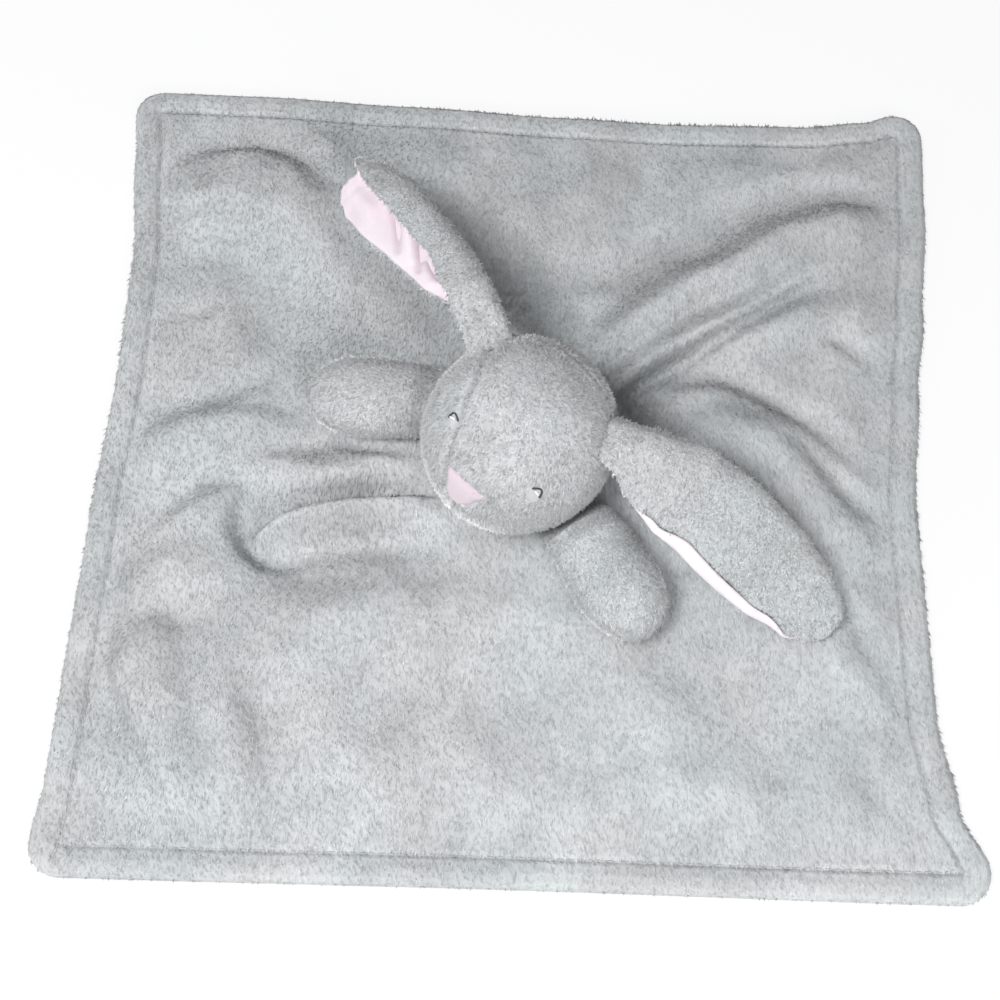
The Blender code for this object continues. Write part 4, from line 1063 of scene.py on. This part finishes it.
pinkCreases = {     # mm along the ear and across it from its middle, height, reaches
    "creaseNearTip": ((90, -3, -0.8, 3, 4), (80, -7, -2.0, 3, 4), (69, -14, -1.0, 3, 3)),
    "creaseInMiddle": ((77, 0, -0.8, 3, 4), (66, -5, -2.2, 3, 4), (54, -14, -1.0, 3, 3)),
    "ridgeInMiddle": ((84, -1, 0.6, 4, 4), (72, -6, 1.6, 4, 4), (61, -13, 0.8, 4, 4)),
    "deepHollow": ((62, -5, -1, 5, 6), (52, -6, -3.6, 7, 6), (41, -7, -3.0, 6, 5), (32, -7, -1, 3, 3)),
    "ridgeByRoot": ((44, -14, 0.8, 4, 3), (33, -12, 2.0, 4, 3), (24, -9, 0.8, 3, 3)),
    "lumpAtTip": ((108, -8, 0.8, 5, 5), (98, -9, 1.4, 5, 5), (92, -12, 0.5, 4, 4)),
}


def earLine(shape):
    skin = headSkin(faceDirection(*shape["root"]))
    outward = (skin - headMiddle).normalized()
    root = skin + outward * ((ears["rootClearance"] + ears["outerPuff"] / 2) * mm)
    return [root + Vector(share) * (ears["length"] * mm) for share in shape["line"]]


def earSection(shape, along, steps, reach=1):
    # places across the ear and the bend at each, in metres
    half = ears["width"] / 2 * mm * reach * float(readTable(shape["widths"], along))
    curl = float(readTable(shape["curl"], along))
    roll = float(readTable(shape["roll"], along))
    last = steps * ears["bendSteps"]
    shares = np.linspace(-1, 1, last + 1)
    foldAt = float(readTable(shape["foldAt"], along))
    bends = np.radians(readTable(shape["bend"], shares - foldAt) * curl + roll)
    across = np.concatenate(((0,), np.cumsum(np.cos(bends[:-1])))) * half * 2 / last
    up = np.concatenate(((0,), np.cumsum(np.sin(bends[:-1])))) * half * 2 / last
    keep = slice(None, None, ears["bendSteps"])
    across, up, bends = across[keep], up[keep], bends[keep]
    return np.stack((across - across.mean(), up - up.mean(), bends), axis=-1)


def earFrame(line, along):
    here = bezier(line, along)
    ahead = bezier(line, min(1, along + 0.01)) - bezier(line, max(0, along - 0.01))
    ahead.normalize()
    across = Vector((0, 0, 1)).cross(ahead).normalized()
    if across.y < 0:
        across = -across
    up = ahead.cross(across)
    return here, across, up if up.z > 0 else -up


def earDepth(shape, side, along, share, raised):
    # how far a point of one layer lies from the middle of the ear, share from -1 to 1 across it
    puff = ears["outerPuff"] if side == shape["outerSide"] else ears["liningPuff"]
    fullness = (1 - abs(share) ** shape["edge"]) * readTable(ears["puffs"], along)
    depth = ears["gap"] / 2
    if raised:
        rim = ears["rim"] * ears["rimShare"]
        depth = depth + rim + (puff - rim) * fullness
    return side * depth * mm


def earSpots(here, across, up, section, depths):
    bends = section[:, 2]
    normals = (np.outer(-np.sin(bends), across) + np.outer(np.cos(bends), up))
    return (np.array(here) + np.outer(section[:, 0], across) + np.outer(section[:, 1], up)
            + normals * np.asarray(depths)[:, None])


def earPushes(shape):
    # how far each section moves to stay clear of the head and of the cloth
    line = earLine(shape)
    steps = ears["pushPoints"]
    shares = np.linspace(-1, 1, steps + 1)
    moves = []
    for station in range(ears["stations"] + 1):
        along = station / ears["stations"]
        start, across, up = earFrame(line, along)
        section = earSection(shape, along, steps)
        outward = (start - headMiddle).normalized()
        here = start.copy()
        for _ in range(ears["pushes"]):
            spots = np.concatenate([earSpots(here, across, up, section,
                                             earDepth(shape, side, along, shares, True))
                                    for side in (-1, 1)])
            inside = max(headDepth(spot) for spot in spots) + ears["rootClearance"] * mm
            here = here + outward * (inside if station == 0 else max(0, inside))
            sunk = max(clothBelow(spot) - spot[2] for spot in spots) + ears["clothClearance"] * mm
            here = here + Vector((0, 0, max(0, sunk)))
        moves.append(np.array(here - start))
    return smoothRows(moves, ears["cells"][0] // ears["stations"])


def hugHead(places, line):
    # the root of the ear reaches down to the skin of the head all round
    ahead = (line[1] - line[0]).normalized()
    layers, columns, rows = places.shape[:3]
    reaches = np.zeros((layers, rows))
    for layer in range(layers):
        for row in range(rows):
            start = Vector(places[layer, 0, row])
            hit = headFace.ray_cast(start, -ahead, ears["hugReach"] * mm)
            if hit[0] is not None:
                reaches[layer, row] = max(0, hit[3] - ears["hugGap"] * mm)
            else:
                near = min(headFace.find_nearest(start)[3], ears["hugReach"] * mm)
                reaches[layer, row] = max(0, near - ears["hugGap"] * mm)
    for column in range(columns):
        share = float(1 - ease(column / (columns - 1) / ears["hugShare"]))
        places[:, column] -= np.array(ahead) * (reaches * share)[:, :, None]


def gridSpots(flat, columns, rows):
    # which column and row of the ear each point of the flat slab is
    return (np.rint((flat[:, 0] + 1) / 2 * columns).astype(int),
            np.rint((flat[:, 1] + 1) / 2 * rows).astype(int))


def buildEarLayer(name, shape, moves, side, material, wrinkle):
    columns, rows = ears["cells"]
    line = earLine(shape)
    shares = np.linspace(-1, 1, rows + 1)
    places = np.zeros((2, columns + 1, rows + 1, 3))
    for column in range(columns + 1):
        along = column / columns
        start, across, up = earFrame(line, along)
        reach = ears["rimReach"] if side == shape["outerSide"] else 1
        section = earSection(shape, along, rows, reach)
        for raised in (False, True):
            depths = earDepth(shape, side, along, shares, raised) + np.zeros(rows + 1)
            if raised:
                depths += side * wrinkle(along, shares) * mm * (1 - shares ** 6)
            places[int(raised), column] = earSpots(start + Vector(moves[column]), across, up,
                                                   section, depths)
    hugHead(places, line)
    bm = slab(columns, rows)
    flat = meshPlaces(bm)
    column, row = gridSpots(flat, columns, rows)
    setPlaces(bm, places[(flat[:, 2] > 0.5).astype(int), column, row])
    return addPiece(name, bm, material), flat


def greyWrinkle(along, shares):
    return np.array([0.6 * noise.noise(Vector((along * 14, share * 3, 4.2))) for share in shares])


def pinkWrinkle(along, shares):
    # creases where the lining bunches up inside the fold
    loose = np.array([noise.noise(Vector((along * 10 - share * 2, share * 1.2 + along * 3, 7.7)))
                      for share in shares])
    x, y = np.full(shares.shape, along * ears["length"]), shares * ears["creaseWidth"]
    return 0.8 * loose + sum(foldHeight(rows, x, y) for rows in pinkCreases.values())


def quietWrinkle(along, shares):
    return np.array([0.5 * noise.noise(Vector((along * 12, share * 2, 9.1))) for share in shares])


def paintCreaseShade(piece, flat, wrinkle):
    # how deep each point lies in a crease, as a mask for painted shade that darkens the lining's colour there
    columns, rows = ears["cells"]
    shares = np.linspace(-1, 1, rows + 1)
    table = np.array([wrinkle(column / columns, shares) for column in range(columns + 1)])
    column, row = gridSpots(flat, columns, rows)
    creaseShade = np.clip(-table[column, row] / ears["creaseShadeDepth"], 0, 1) * (flat[:, 2] > 0.5)
    piece.data.attributes.new("creaseShade", "FLOAT", "POINT").data.foreach_set("value", creaseShade)


earPieces = {}
for name, shape in earShapes.items():
    moves = earPushes(shape)
    outer = shape["outerSide"]
    bunched = pinkWrinkle if name == "earRight" else quietWrinkle
    grey, _ = buildEarLayer(name + "Outer", shape, moves, outer, greyPlush, greyWrinkle)
    pink, flat = buildEarLayer(name + "Lining", shape, moves, -outer, pinkPlush, bunched)
    paintCreaseShade(pink, flat, bunched)
    earPieces[name] = {"Outer": grey, "Lining": pink}
print("ears sewn")


# arms
arms = {
    "length": 66.0, "width": 30.5, "depth": 23.5, "restGap": 0.3, "sides": 72, "rings": 72,
    "swell": ((0, 0.62, 0.20), (0.08, 0.76, 0.44), (0.2, 0.88, 0.78), (0.36, 0.94, 0.94),
              (0.62, 1, 1), (1, 1, 1)),
    "roundFrom": 0.66, "closeShare": 0.02, "closedWidth": 0.6, "touchShares": (-0.6, 0, 0.6),
    "bendHeight": 14.2, "bendShare": 0.5,
}
armLines = {
    "armRight": ((-0.27, 0.31), (-0.60, 0.375), (-0.92, 0.40), (-1.20, 0.43)),
    "armLeft": ((0.275, -0.285), (0.40, -0.46), (0.55, -0.71), (0.715, -0.995)),
}


def armLine(name, height):
    neck = Vector((headMiddle.x, headMiddle.y, height * mm))
    return [neck + Vector((*share, 0)) * (arms["length"] * mm) for share in armLines[name]]


def buildArm(name):
    line = armLine(name, 0)
    bm = bmesh.new()
    bmesh.ops.create_uvsphere(bm, u_segments=arms["sides"], v_segments=arms["rings"], radius=1)
    levels = {}
    for vert in bm.verts:
        # even rings along the arm, from the ball's own even angles
        along = round(1 - math.acos(max(-1, min(1, vert.co.z))) / math.pi, 5)
        turn = math.atan2(vert.co.y, vert.co.x)
        if along not in levels:
            here = bezier(line, along)
            ahead = bezier(line, min(1, along + 0.01)) - bezier(line, max(0, along - 0.01))
            ahead.normalize()
            across = Vector((-ahead.y, ahead.x, 0))
            share = max(0, (along - arms["roundFrom"]) / (1 - arms["roundFrom"]))
            rounding = math.sqrt(max(0, 1 - share * share))
            fullWidth = arms["width"] / 2 * mm * float(readTable(arms["swell"], along, 1))
            fullDepth = arms["depth"] / 2 * mm * float(readTable(arms["swell"], along, 2))
            closed = float(ease(along / arms["closeShare"]))      # the root is sewn shut
            width = fullWidth * rounding * (arms["closedWidth"] + (1 - arms["closedWidth"]) * closed)
            cloth = max(clothBelow(here + across * (width * side)) for side in arms["touchShares"])
            levels[along] = (here, across, width, fullDepth * rounding * closed,
                             cloth + arms["restGap"] * mm + fullDepth)
        here, across, width, depth, height = levels[along]
        spot = here + across * (math.cos(turn) * width)
        spot.z = height + math.sin(turn) * depth
        vert.co = spot
    bmesh.ops.remove_doubles(bm, verts=bm.verts[:], dist=0.01 * mm)
    return addPiece(name + "Cover", bm, greyPlush)


def armEnds(name):
    # where the arm starts to bend at the neck, and where it is free
    line = armLine(name, arms["bendHeight"])
    return tuple(bezier(line, 0)), tuple(bezier(line, arms["bendShare"]))


armPieces = {name: buildArm(name) for name in armLines}
print("arms stuffed")


# brushed pile that stands up from the plush, with tufts to a square millimetre and sizes in millimetres
pile = {
    "density": 0.25, "lean": 1.0, "scatter": 0.38, "wide": 0.62, "long": 2.0, "softening": 0.86,
}
curl = {     # the looser pile of head, ears and arms
    "density": 2.0, "lean": 0.8, "scatter": 0.75, "wide": 0.60, "long": 1.7, "softening": 0.72,
}
clothSeeds = {"blanketPileA": 11, "blanketPileB": 23, "blanketPileC": 37, "blanketPileD": 47}
combing = {
    "upright": 0.5, "wanderWaves": 45, "hemLength": 0.5, "hemReach": 9, "clothFrom": 2.9,
    "neckFrom": 15, "noseBare": 6.2, "eyeBare": 2.6, "bareFade": 1.5, "liningReach": 1.5,
}
tuftSpread = {"wide": (0.7, 1.3), "long": (0.55, 1.25)}


def buildPileTree():
    tree = bpy.data.node_groups.new("brushedPile", "GeometryNodeTree")
    socketed(tree, (("Geometry", "Geometry"), ("Density", "Float"), ("Wide", "Float"),
                    ("Long", "Float"), ("Lean", "Float"), ("Scatter", "Float"),
                    ("Seed", "Int")), "INPUT")
    socketed(tree, (("Geometry", "Geometry"),), "OUTPUT")
    new = tree.nodes.new
    source, out = new("NodeGroupInput"), new("NodeGroupOutput")

    def readAttribute(name, kind):
        node = new("GeometryNodeInputNamedAttribute")
        node.data_type = kind
        node.inputs["Name"].default_value = name
        return node.outputs["Attribute"]

    def vectorNode(operation, first, second):
        node = new("ShaderNodeVectorMath")
        node.operation = operation
        join(tree, (first, node.inputs[0]), (second, node.inputs["Scale" if operation == "SCALE" else 1]))
        return node.outputs[0]

    def randomNode(low, high, kind, offset):
        node = new("FunctionNodeRandomValue")
        node.data_type = kind
        sockets = {socket.name: socket for socket in node.inputs if socket.enabled}
        sockets["Min"].default_value = low
        sockets["Max"].default_value = high
        seed = mathNode(tree, "ADD", source.outputs["Seed"], offset)
        join(tree, (seed, sockets["Seed"]))
        return [socket for socket in node.outputs if socket.enabled][0]

    scatter = new("GeometryNodeDistributePointsOnFaces")
    scatter.distribute_method = "RANDOM"
    density = mathNode(tree, "MULTIPLY", source.outputs["Density"], readAttribute("pileShare", "FLOAT"))
    join(tree, (source.outputs["Geometry"], scatter.inputs["Mesh"]),
         (density, scatter.inputs["Density"]), (source.outputs["Seed"], scatter.inputs["Seed"]))

    keep = new("GeometryNodeStoreNamedAttribute")
    keep.data_type = "FLOAT_VECTOR"
    keep.domain = "POINT"
    keep.inputs["Name"].default_value = "clothNormal"
    join(tree, (scatter.outputs["Points"], keep.inputs["Geometry"]),
         (scatter.outputs["Normal"], keep.inputs["Value"]))

    lay = vectorNode("SCALE", readAttribute("nap", "FLOAT_VECTOR"), source.outputs["Lean"])
    loose = vectorNode("SCALE", randomNode((-1, -1, -1), (1, 1, 1), "FLOAT_VECTOR", 1),
                       source.outputs["Scatter"])
    normal = readAttribute("clothNormal", "FLOAT_VECTOR")
    upright = new("ShaderNodeVectorMath")
    upright.operation = "SCALE"
    upright.inputs["Scale"].default_value = combing["upright"]
    join(tree, (normal, upright.inputs[0]))
    direction = vectorNode("ADD", vectorNode("ADD", upright.outputs[0], lay), loose)
    turn = new("FunctionNodeAlignRotationToVector")
    turn.axis = "Z"
    join(tree, (direction, turn.inputs["Vector"]))

    tuft = new("GeometryNodeMeshCone")
    tuft.fill_type = "NONE"
    tuft.inputs["Vertices"].default_value = 3
    tuft.inputs["Radius Top"].default_value = 0
    tuft.inputs["Radius Bottom"].default_value = 0.5
    tuft.inputs["Depth"].default_value = 1
    size = new("ShaderNodeCombineXYZ")
    wide = mathNode(tree, "MULTIPLY", source.outputs["Wide"], randomNode(*tuftSpread["wide"], "FLOAT", 2))
    tall = mathNode(tree, "MULTIPLY", source.outputs["Long"], randomNode(*tuftSpread["long"], "FLOAT", 3))
    tall = mathNode(tree, "MULTIPLY", tall, readAttribute("pileLength", "FLOAT"))
    join(tree, (wide, size.inputs["X"]), (wide, size.inputs["Y"]), (tall, size.inputs["Z"]))

    place = new("GeometryNodeInstanceOnPoints")
    join(tree, (keep.outputs["Geometry"], place.inputs["Points"]),
         (tuft.outputs["Mesh"], place.inputs["Instance"]),
         (turn.outputs["Rotation"], place.inputs["Rotation"]), (size.outputs[0], place.inputs["Scale"]))
    tone = new("GeometryNodeStoreNamedAttribute")
    tone.data_type = "FLOAT"
    tone.domain = "INSTANCE"
    tone.inputs["Name"].default_value = "tone"
    join(tree, (place.outputs["Instances"], tone.inputs["Geometry"]),
         (randomNode(-1.0, 1.0, "FLOAT", 4), tone.inputs["Value"]))
    real = new("GeometryNodeRealizeInstances")
    join(tree, (tone.outputs["Geometry"], real.inputs["Geometry"]),
         (real.outputs["Geometry"], out.inputs["Geometry"]))
    return tree


pileTree = buildPileTree()


def brush(piece, lay, share, wander=0.35, length=None):
    # stores which way the pile lies at each point, how much of it grows there and how long
    mesh = piece.data
    count = len(mesh.vertices)
    places, normals = np.zeros(count * 3), np.zeros(count * 3)
    mesh.vertices.foreach_get("co", places)
    mesh.vertex_normals.foreach_get("vector", normals)
    places, normals = places.reshape(-1, 3), normals.reshape(-1, 3)
    nap = np.array([lay(place) for place in places])
    if wander:
        nap = nap + wander * np.array([noise.noise_vector(Vector(place) * combing["wanderWaves"])
                                       for place in places])
    nap -= normals * (nap * normals).sum(axis=1)[:, None]
    nap /= np.maximum(np.linalg.norm(nap, axis=1), 1e-6)[:, None]
    mesh.attributes.new("nap", "FLOAT_VECTOR", "POINT").data.foreach_set("vector", nap.ravel())
    shares = np.array([share(place, normal) for place, normal in zip(places, normals)])
    mesh.attributes.new("pileShare", "FLOAT", "POINT").data.foreach_set("value", shares)
    lengths = np.ones(count) if length is None else np.array([length(place) for place in places])
    mesh.attributes.new("pileLength", "FLOAT", "POINT").data.foreach_set("value", lengths)


def growPile(name, piece, material, growth, seed):
    grown = bpy.data.objects.new(name, piece.data)
    scene.collection.objects.link(grown)
    modifier = grown.modifiers.new("pile", "NODES")
    modifier.node_group = pileTree
    values = {"Density": growth["density"] / mm ** 2, "Wide": growth["wide"] * mm,
              "Long": growth["long"] * mm, "Lean": growth["lean"], "Scatter": growth["scatter"],
              "Seed": seed}
    for item in pileTree.interface.items_tree:
        if item.in_out == "INPUT" and item.name in values:
            modifier[item.identifier] = values[item.name]
    grown.update_tag()
    mesh = bpy.data.meshes.new_from_object(grown.evaluated_get(bpy.context.evaluated_depsgraph_get()))
    grown.modifiers.clear()
    grown.data = mesh
    mesh.name = name
    mesh.shade_smooth()
    count = len(mesh.vertices)
    cloth, own = np.zeros(count * 3), np.zeros(count * 3)
    mesh.attributes["clothNormal"].data.foreach_get("vector", cloth)
    mesh.vertex_normals.foreach_get("vector", own)
    softening = growth["softening"]
    soft = softening * cloth.reshape(-1, 3) + (1 - softening) * own.reshape(-1, 3)
    soft /= np.maximum(np.linalg.norm(soft, axis=1), 1e-6)[:, None]
    mesh.normals_split_custom_set_from_vertices(soft)
    mesh.attributes.remove(mesh.attributes["clothNormal"])
    mesh.materials.clear()
    mesh.materials.append(material)
    print(name, len(mesh.polygons), "faces")
    return grown


def layTo(x, y, z):
    # the same direction at every point
    return lambda place: np.array((x, y, z))


def hemLength(place):
    # shorter pile on the outer edge of the blanket
    inside = min(cadHigh[axis] - abs(place[axis]) for axis in (0, 1)) / mm
    shortest = combing["hemLength"]
    return shortest + (1 - shortest) * float(ease(inside / combing["hemReach"]))


def clothShare(place, normal):
    return 1.0 if normal[2] > 0.02 or place[2] > combing["clothFrom"] * mm else 0.0


brush(clothTop, layTo(0.0, -1.0, 0.0), clothShare, length=hemLength)
bare = [(np.array(faceFrame(nose["place"])[0]), combing["noseBare"] * mm)]
bare += [(np.array(faceFrame(eyes[side])[0]), combing["eyeBare"] * mm) for side in ("right", "left")]


def headShare(place, normal):
    clear = min(float(ease((np.linalg.norm(place - spot) - radius) / (combing["bareFade"] * mm)))
                for spot, radius in bare)
    return clear if place[2] > combing["neckFrom"] * mm else 0.0


def clearOf(lining):
    # only the outward face of the grey layer carries pile that shows
    faces = BVHTree.FromObject(lining, bpy.context.evaluated_depsgraph_get())

    def share(place, normal):
        start = Vector(place) + Vector(normal) * (0.02 * mm)
        near = faces.ray_cast(start, Vector(normal), combing["liningReach"] * mm)
        return 0.0 if near[0] is not None else 1.0

    return share


brush(headPiece, layTo(0.0, -0.5, -0.9), headShare, 1.1)
for layers in earPieces.values():
    brush(layers["Outer"], layTo(-0.4, -0.9, -0.2), clearOf(layers["Lining"]), 0.6)
for piece in armPieces.values():
    brush(piece, layTo(-0.2, -0.9, -0.2), lambda place, normal: 1.0, 1.1)

clothPile = [growPile(name, clothTop, greyPile, pile, seed) for name, seed in clothSeeds.items()]
headPile = growPile("headPile", headPiece, curlyPile, curl, 31)
earPiles = {name: growPile(name + "Pile", layers["Outer"], curlyPile, curl, 41)
            for name, layers in earPieces.items()}
armPiles = {name: growPile(name + "Pile", piece, curlyPile, curl, 53)
            for name, piece in armPieces.items()}
print("pile brushed")


# bodies, declarations and sizes
for piece in (clothTop, clothBack, *clothPile):
    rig.ride(piece, "blanket")
    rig.slot(piece, "grey_plush")
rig.replaces(clothTop, "blanket_top_panel")
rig.replaces(clothBack, "blanket_back_panel")
for thread, cadName in ((hemThread, "hem_topstitch"), (neckThread, "neck_stitching")):
    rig.ride(thread, "blanket")
    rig.slot(thread, "grey_thread")
    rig.replaces(thread, cadName)
for piece in (headPiece, headPile):
    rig.ride(piece, "head")
    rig.slot(piece, "grey_plush")
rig.replaces(headPiece, "forehead_gusset", "right_cheek", "left_cheek", "back_of_head",
            "head_filling")
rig.ride(nosePiece, "head")
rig.slot(nosePiece, "pink_plush")
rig.replaces(nosePiece, "nose")
for side, (lid, glint) in eyePieces.items():
    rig.ride(lid, "head")
    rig.slot(lid, "black_thread")
    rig.replaces(lid, side + "_eye")
    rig.ride(glint, "head")
    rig.slot(glint, "white_thread")
    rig.replaces(glint, side + "_eye_glint")
for name, cadName in (("earRight", "ear_right"), ("earLeft", "ear_left")):
    line = earLine(earShapes[name])
    start, end = tuple(bezier(line, 0)), tuple(bezier(line, ears["bendShare"]))
    for layer, slotName in (("Outer", "grey_plush"), ("Lining", "pink_plush")):
        piece = earPieces[name][layer]
        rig.blend(piece, "head", cadName, start=start, end=end)
        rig.slot(piece, slotName)
        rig.replaces(piece, cadName + "_" + layer.lower())
    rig.blend(earPiles[name], "head", cadName, start=start, end=end)
    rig.slot(earPiles[name], "grey_plush")
for name, cadName in (("armRight", "arm_right"), ("armLeft", "arm_left")):
    start, end = armEnds(name)
    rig.blend(armPieces[name], "blanket", cadName, start=start, end=end)
    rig.slot(armPieces[name], "grey_plush")
    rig.replaces(armPieces[name], cadName + "_cover", cadName + "_filling")
    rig.blend(armPiles[name], "blanket", cadName, start=start, end=end)
    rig.slot(armPiles[name], "grey_plush")
    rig.padded(armPieces[name], fill=0.7)
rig.sheet(clothTop, flat=(0.330, 0.330), held="laid", rests_on=[clothBack], with_pieces=clothPile)
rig.sheet(clothBack, flat=(0.330, 0.330), held="laid", rests_on=[])
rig.padded(headPiece, fill=0.9)

low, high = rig.bounds()
with open("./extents.json", "w") as sizeFile:
    json.dump({"cad": [list(cadLow), list(cadHigh)], "visual": [list(low), list(high)]}, sizeFile)
print("sizes", [round((b - a) / mm, 1) for a, b in zip(low, high)])
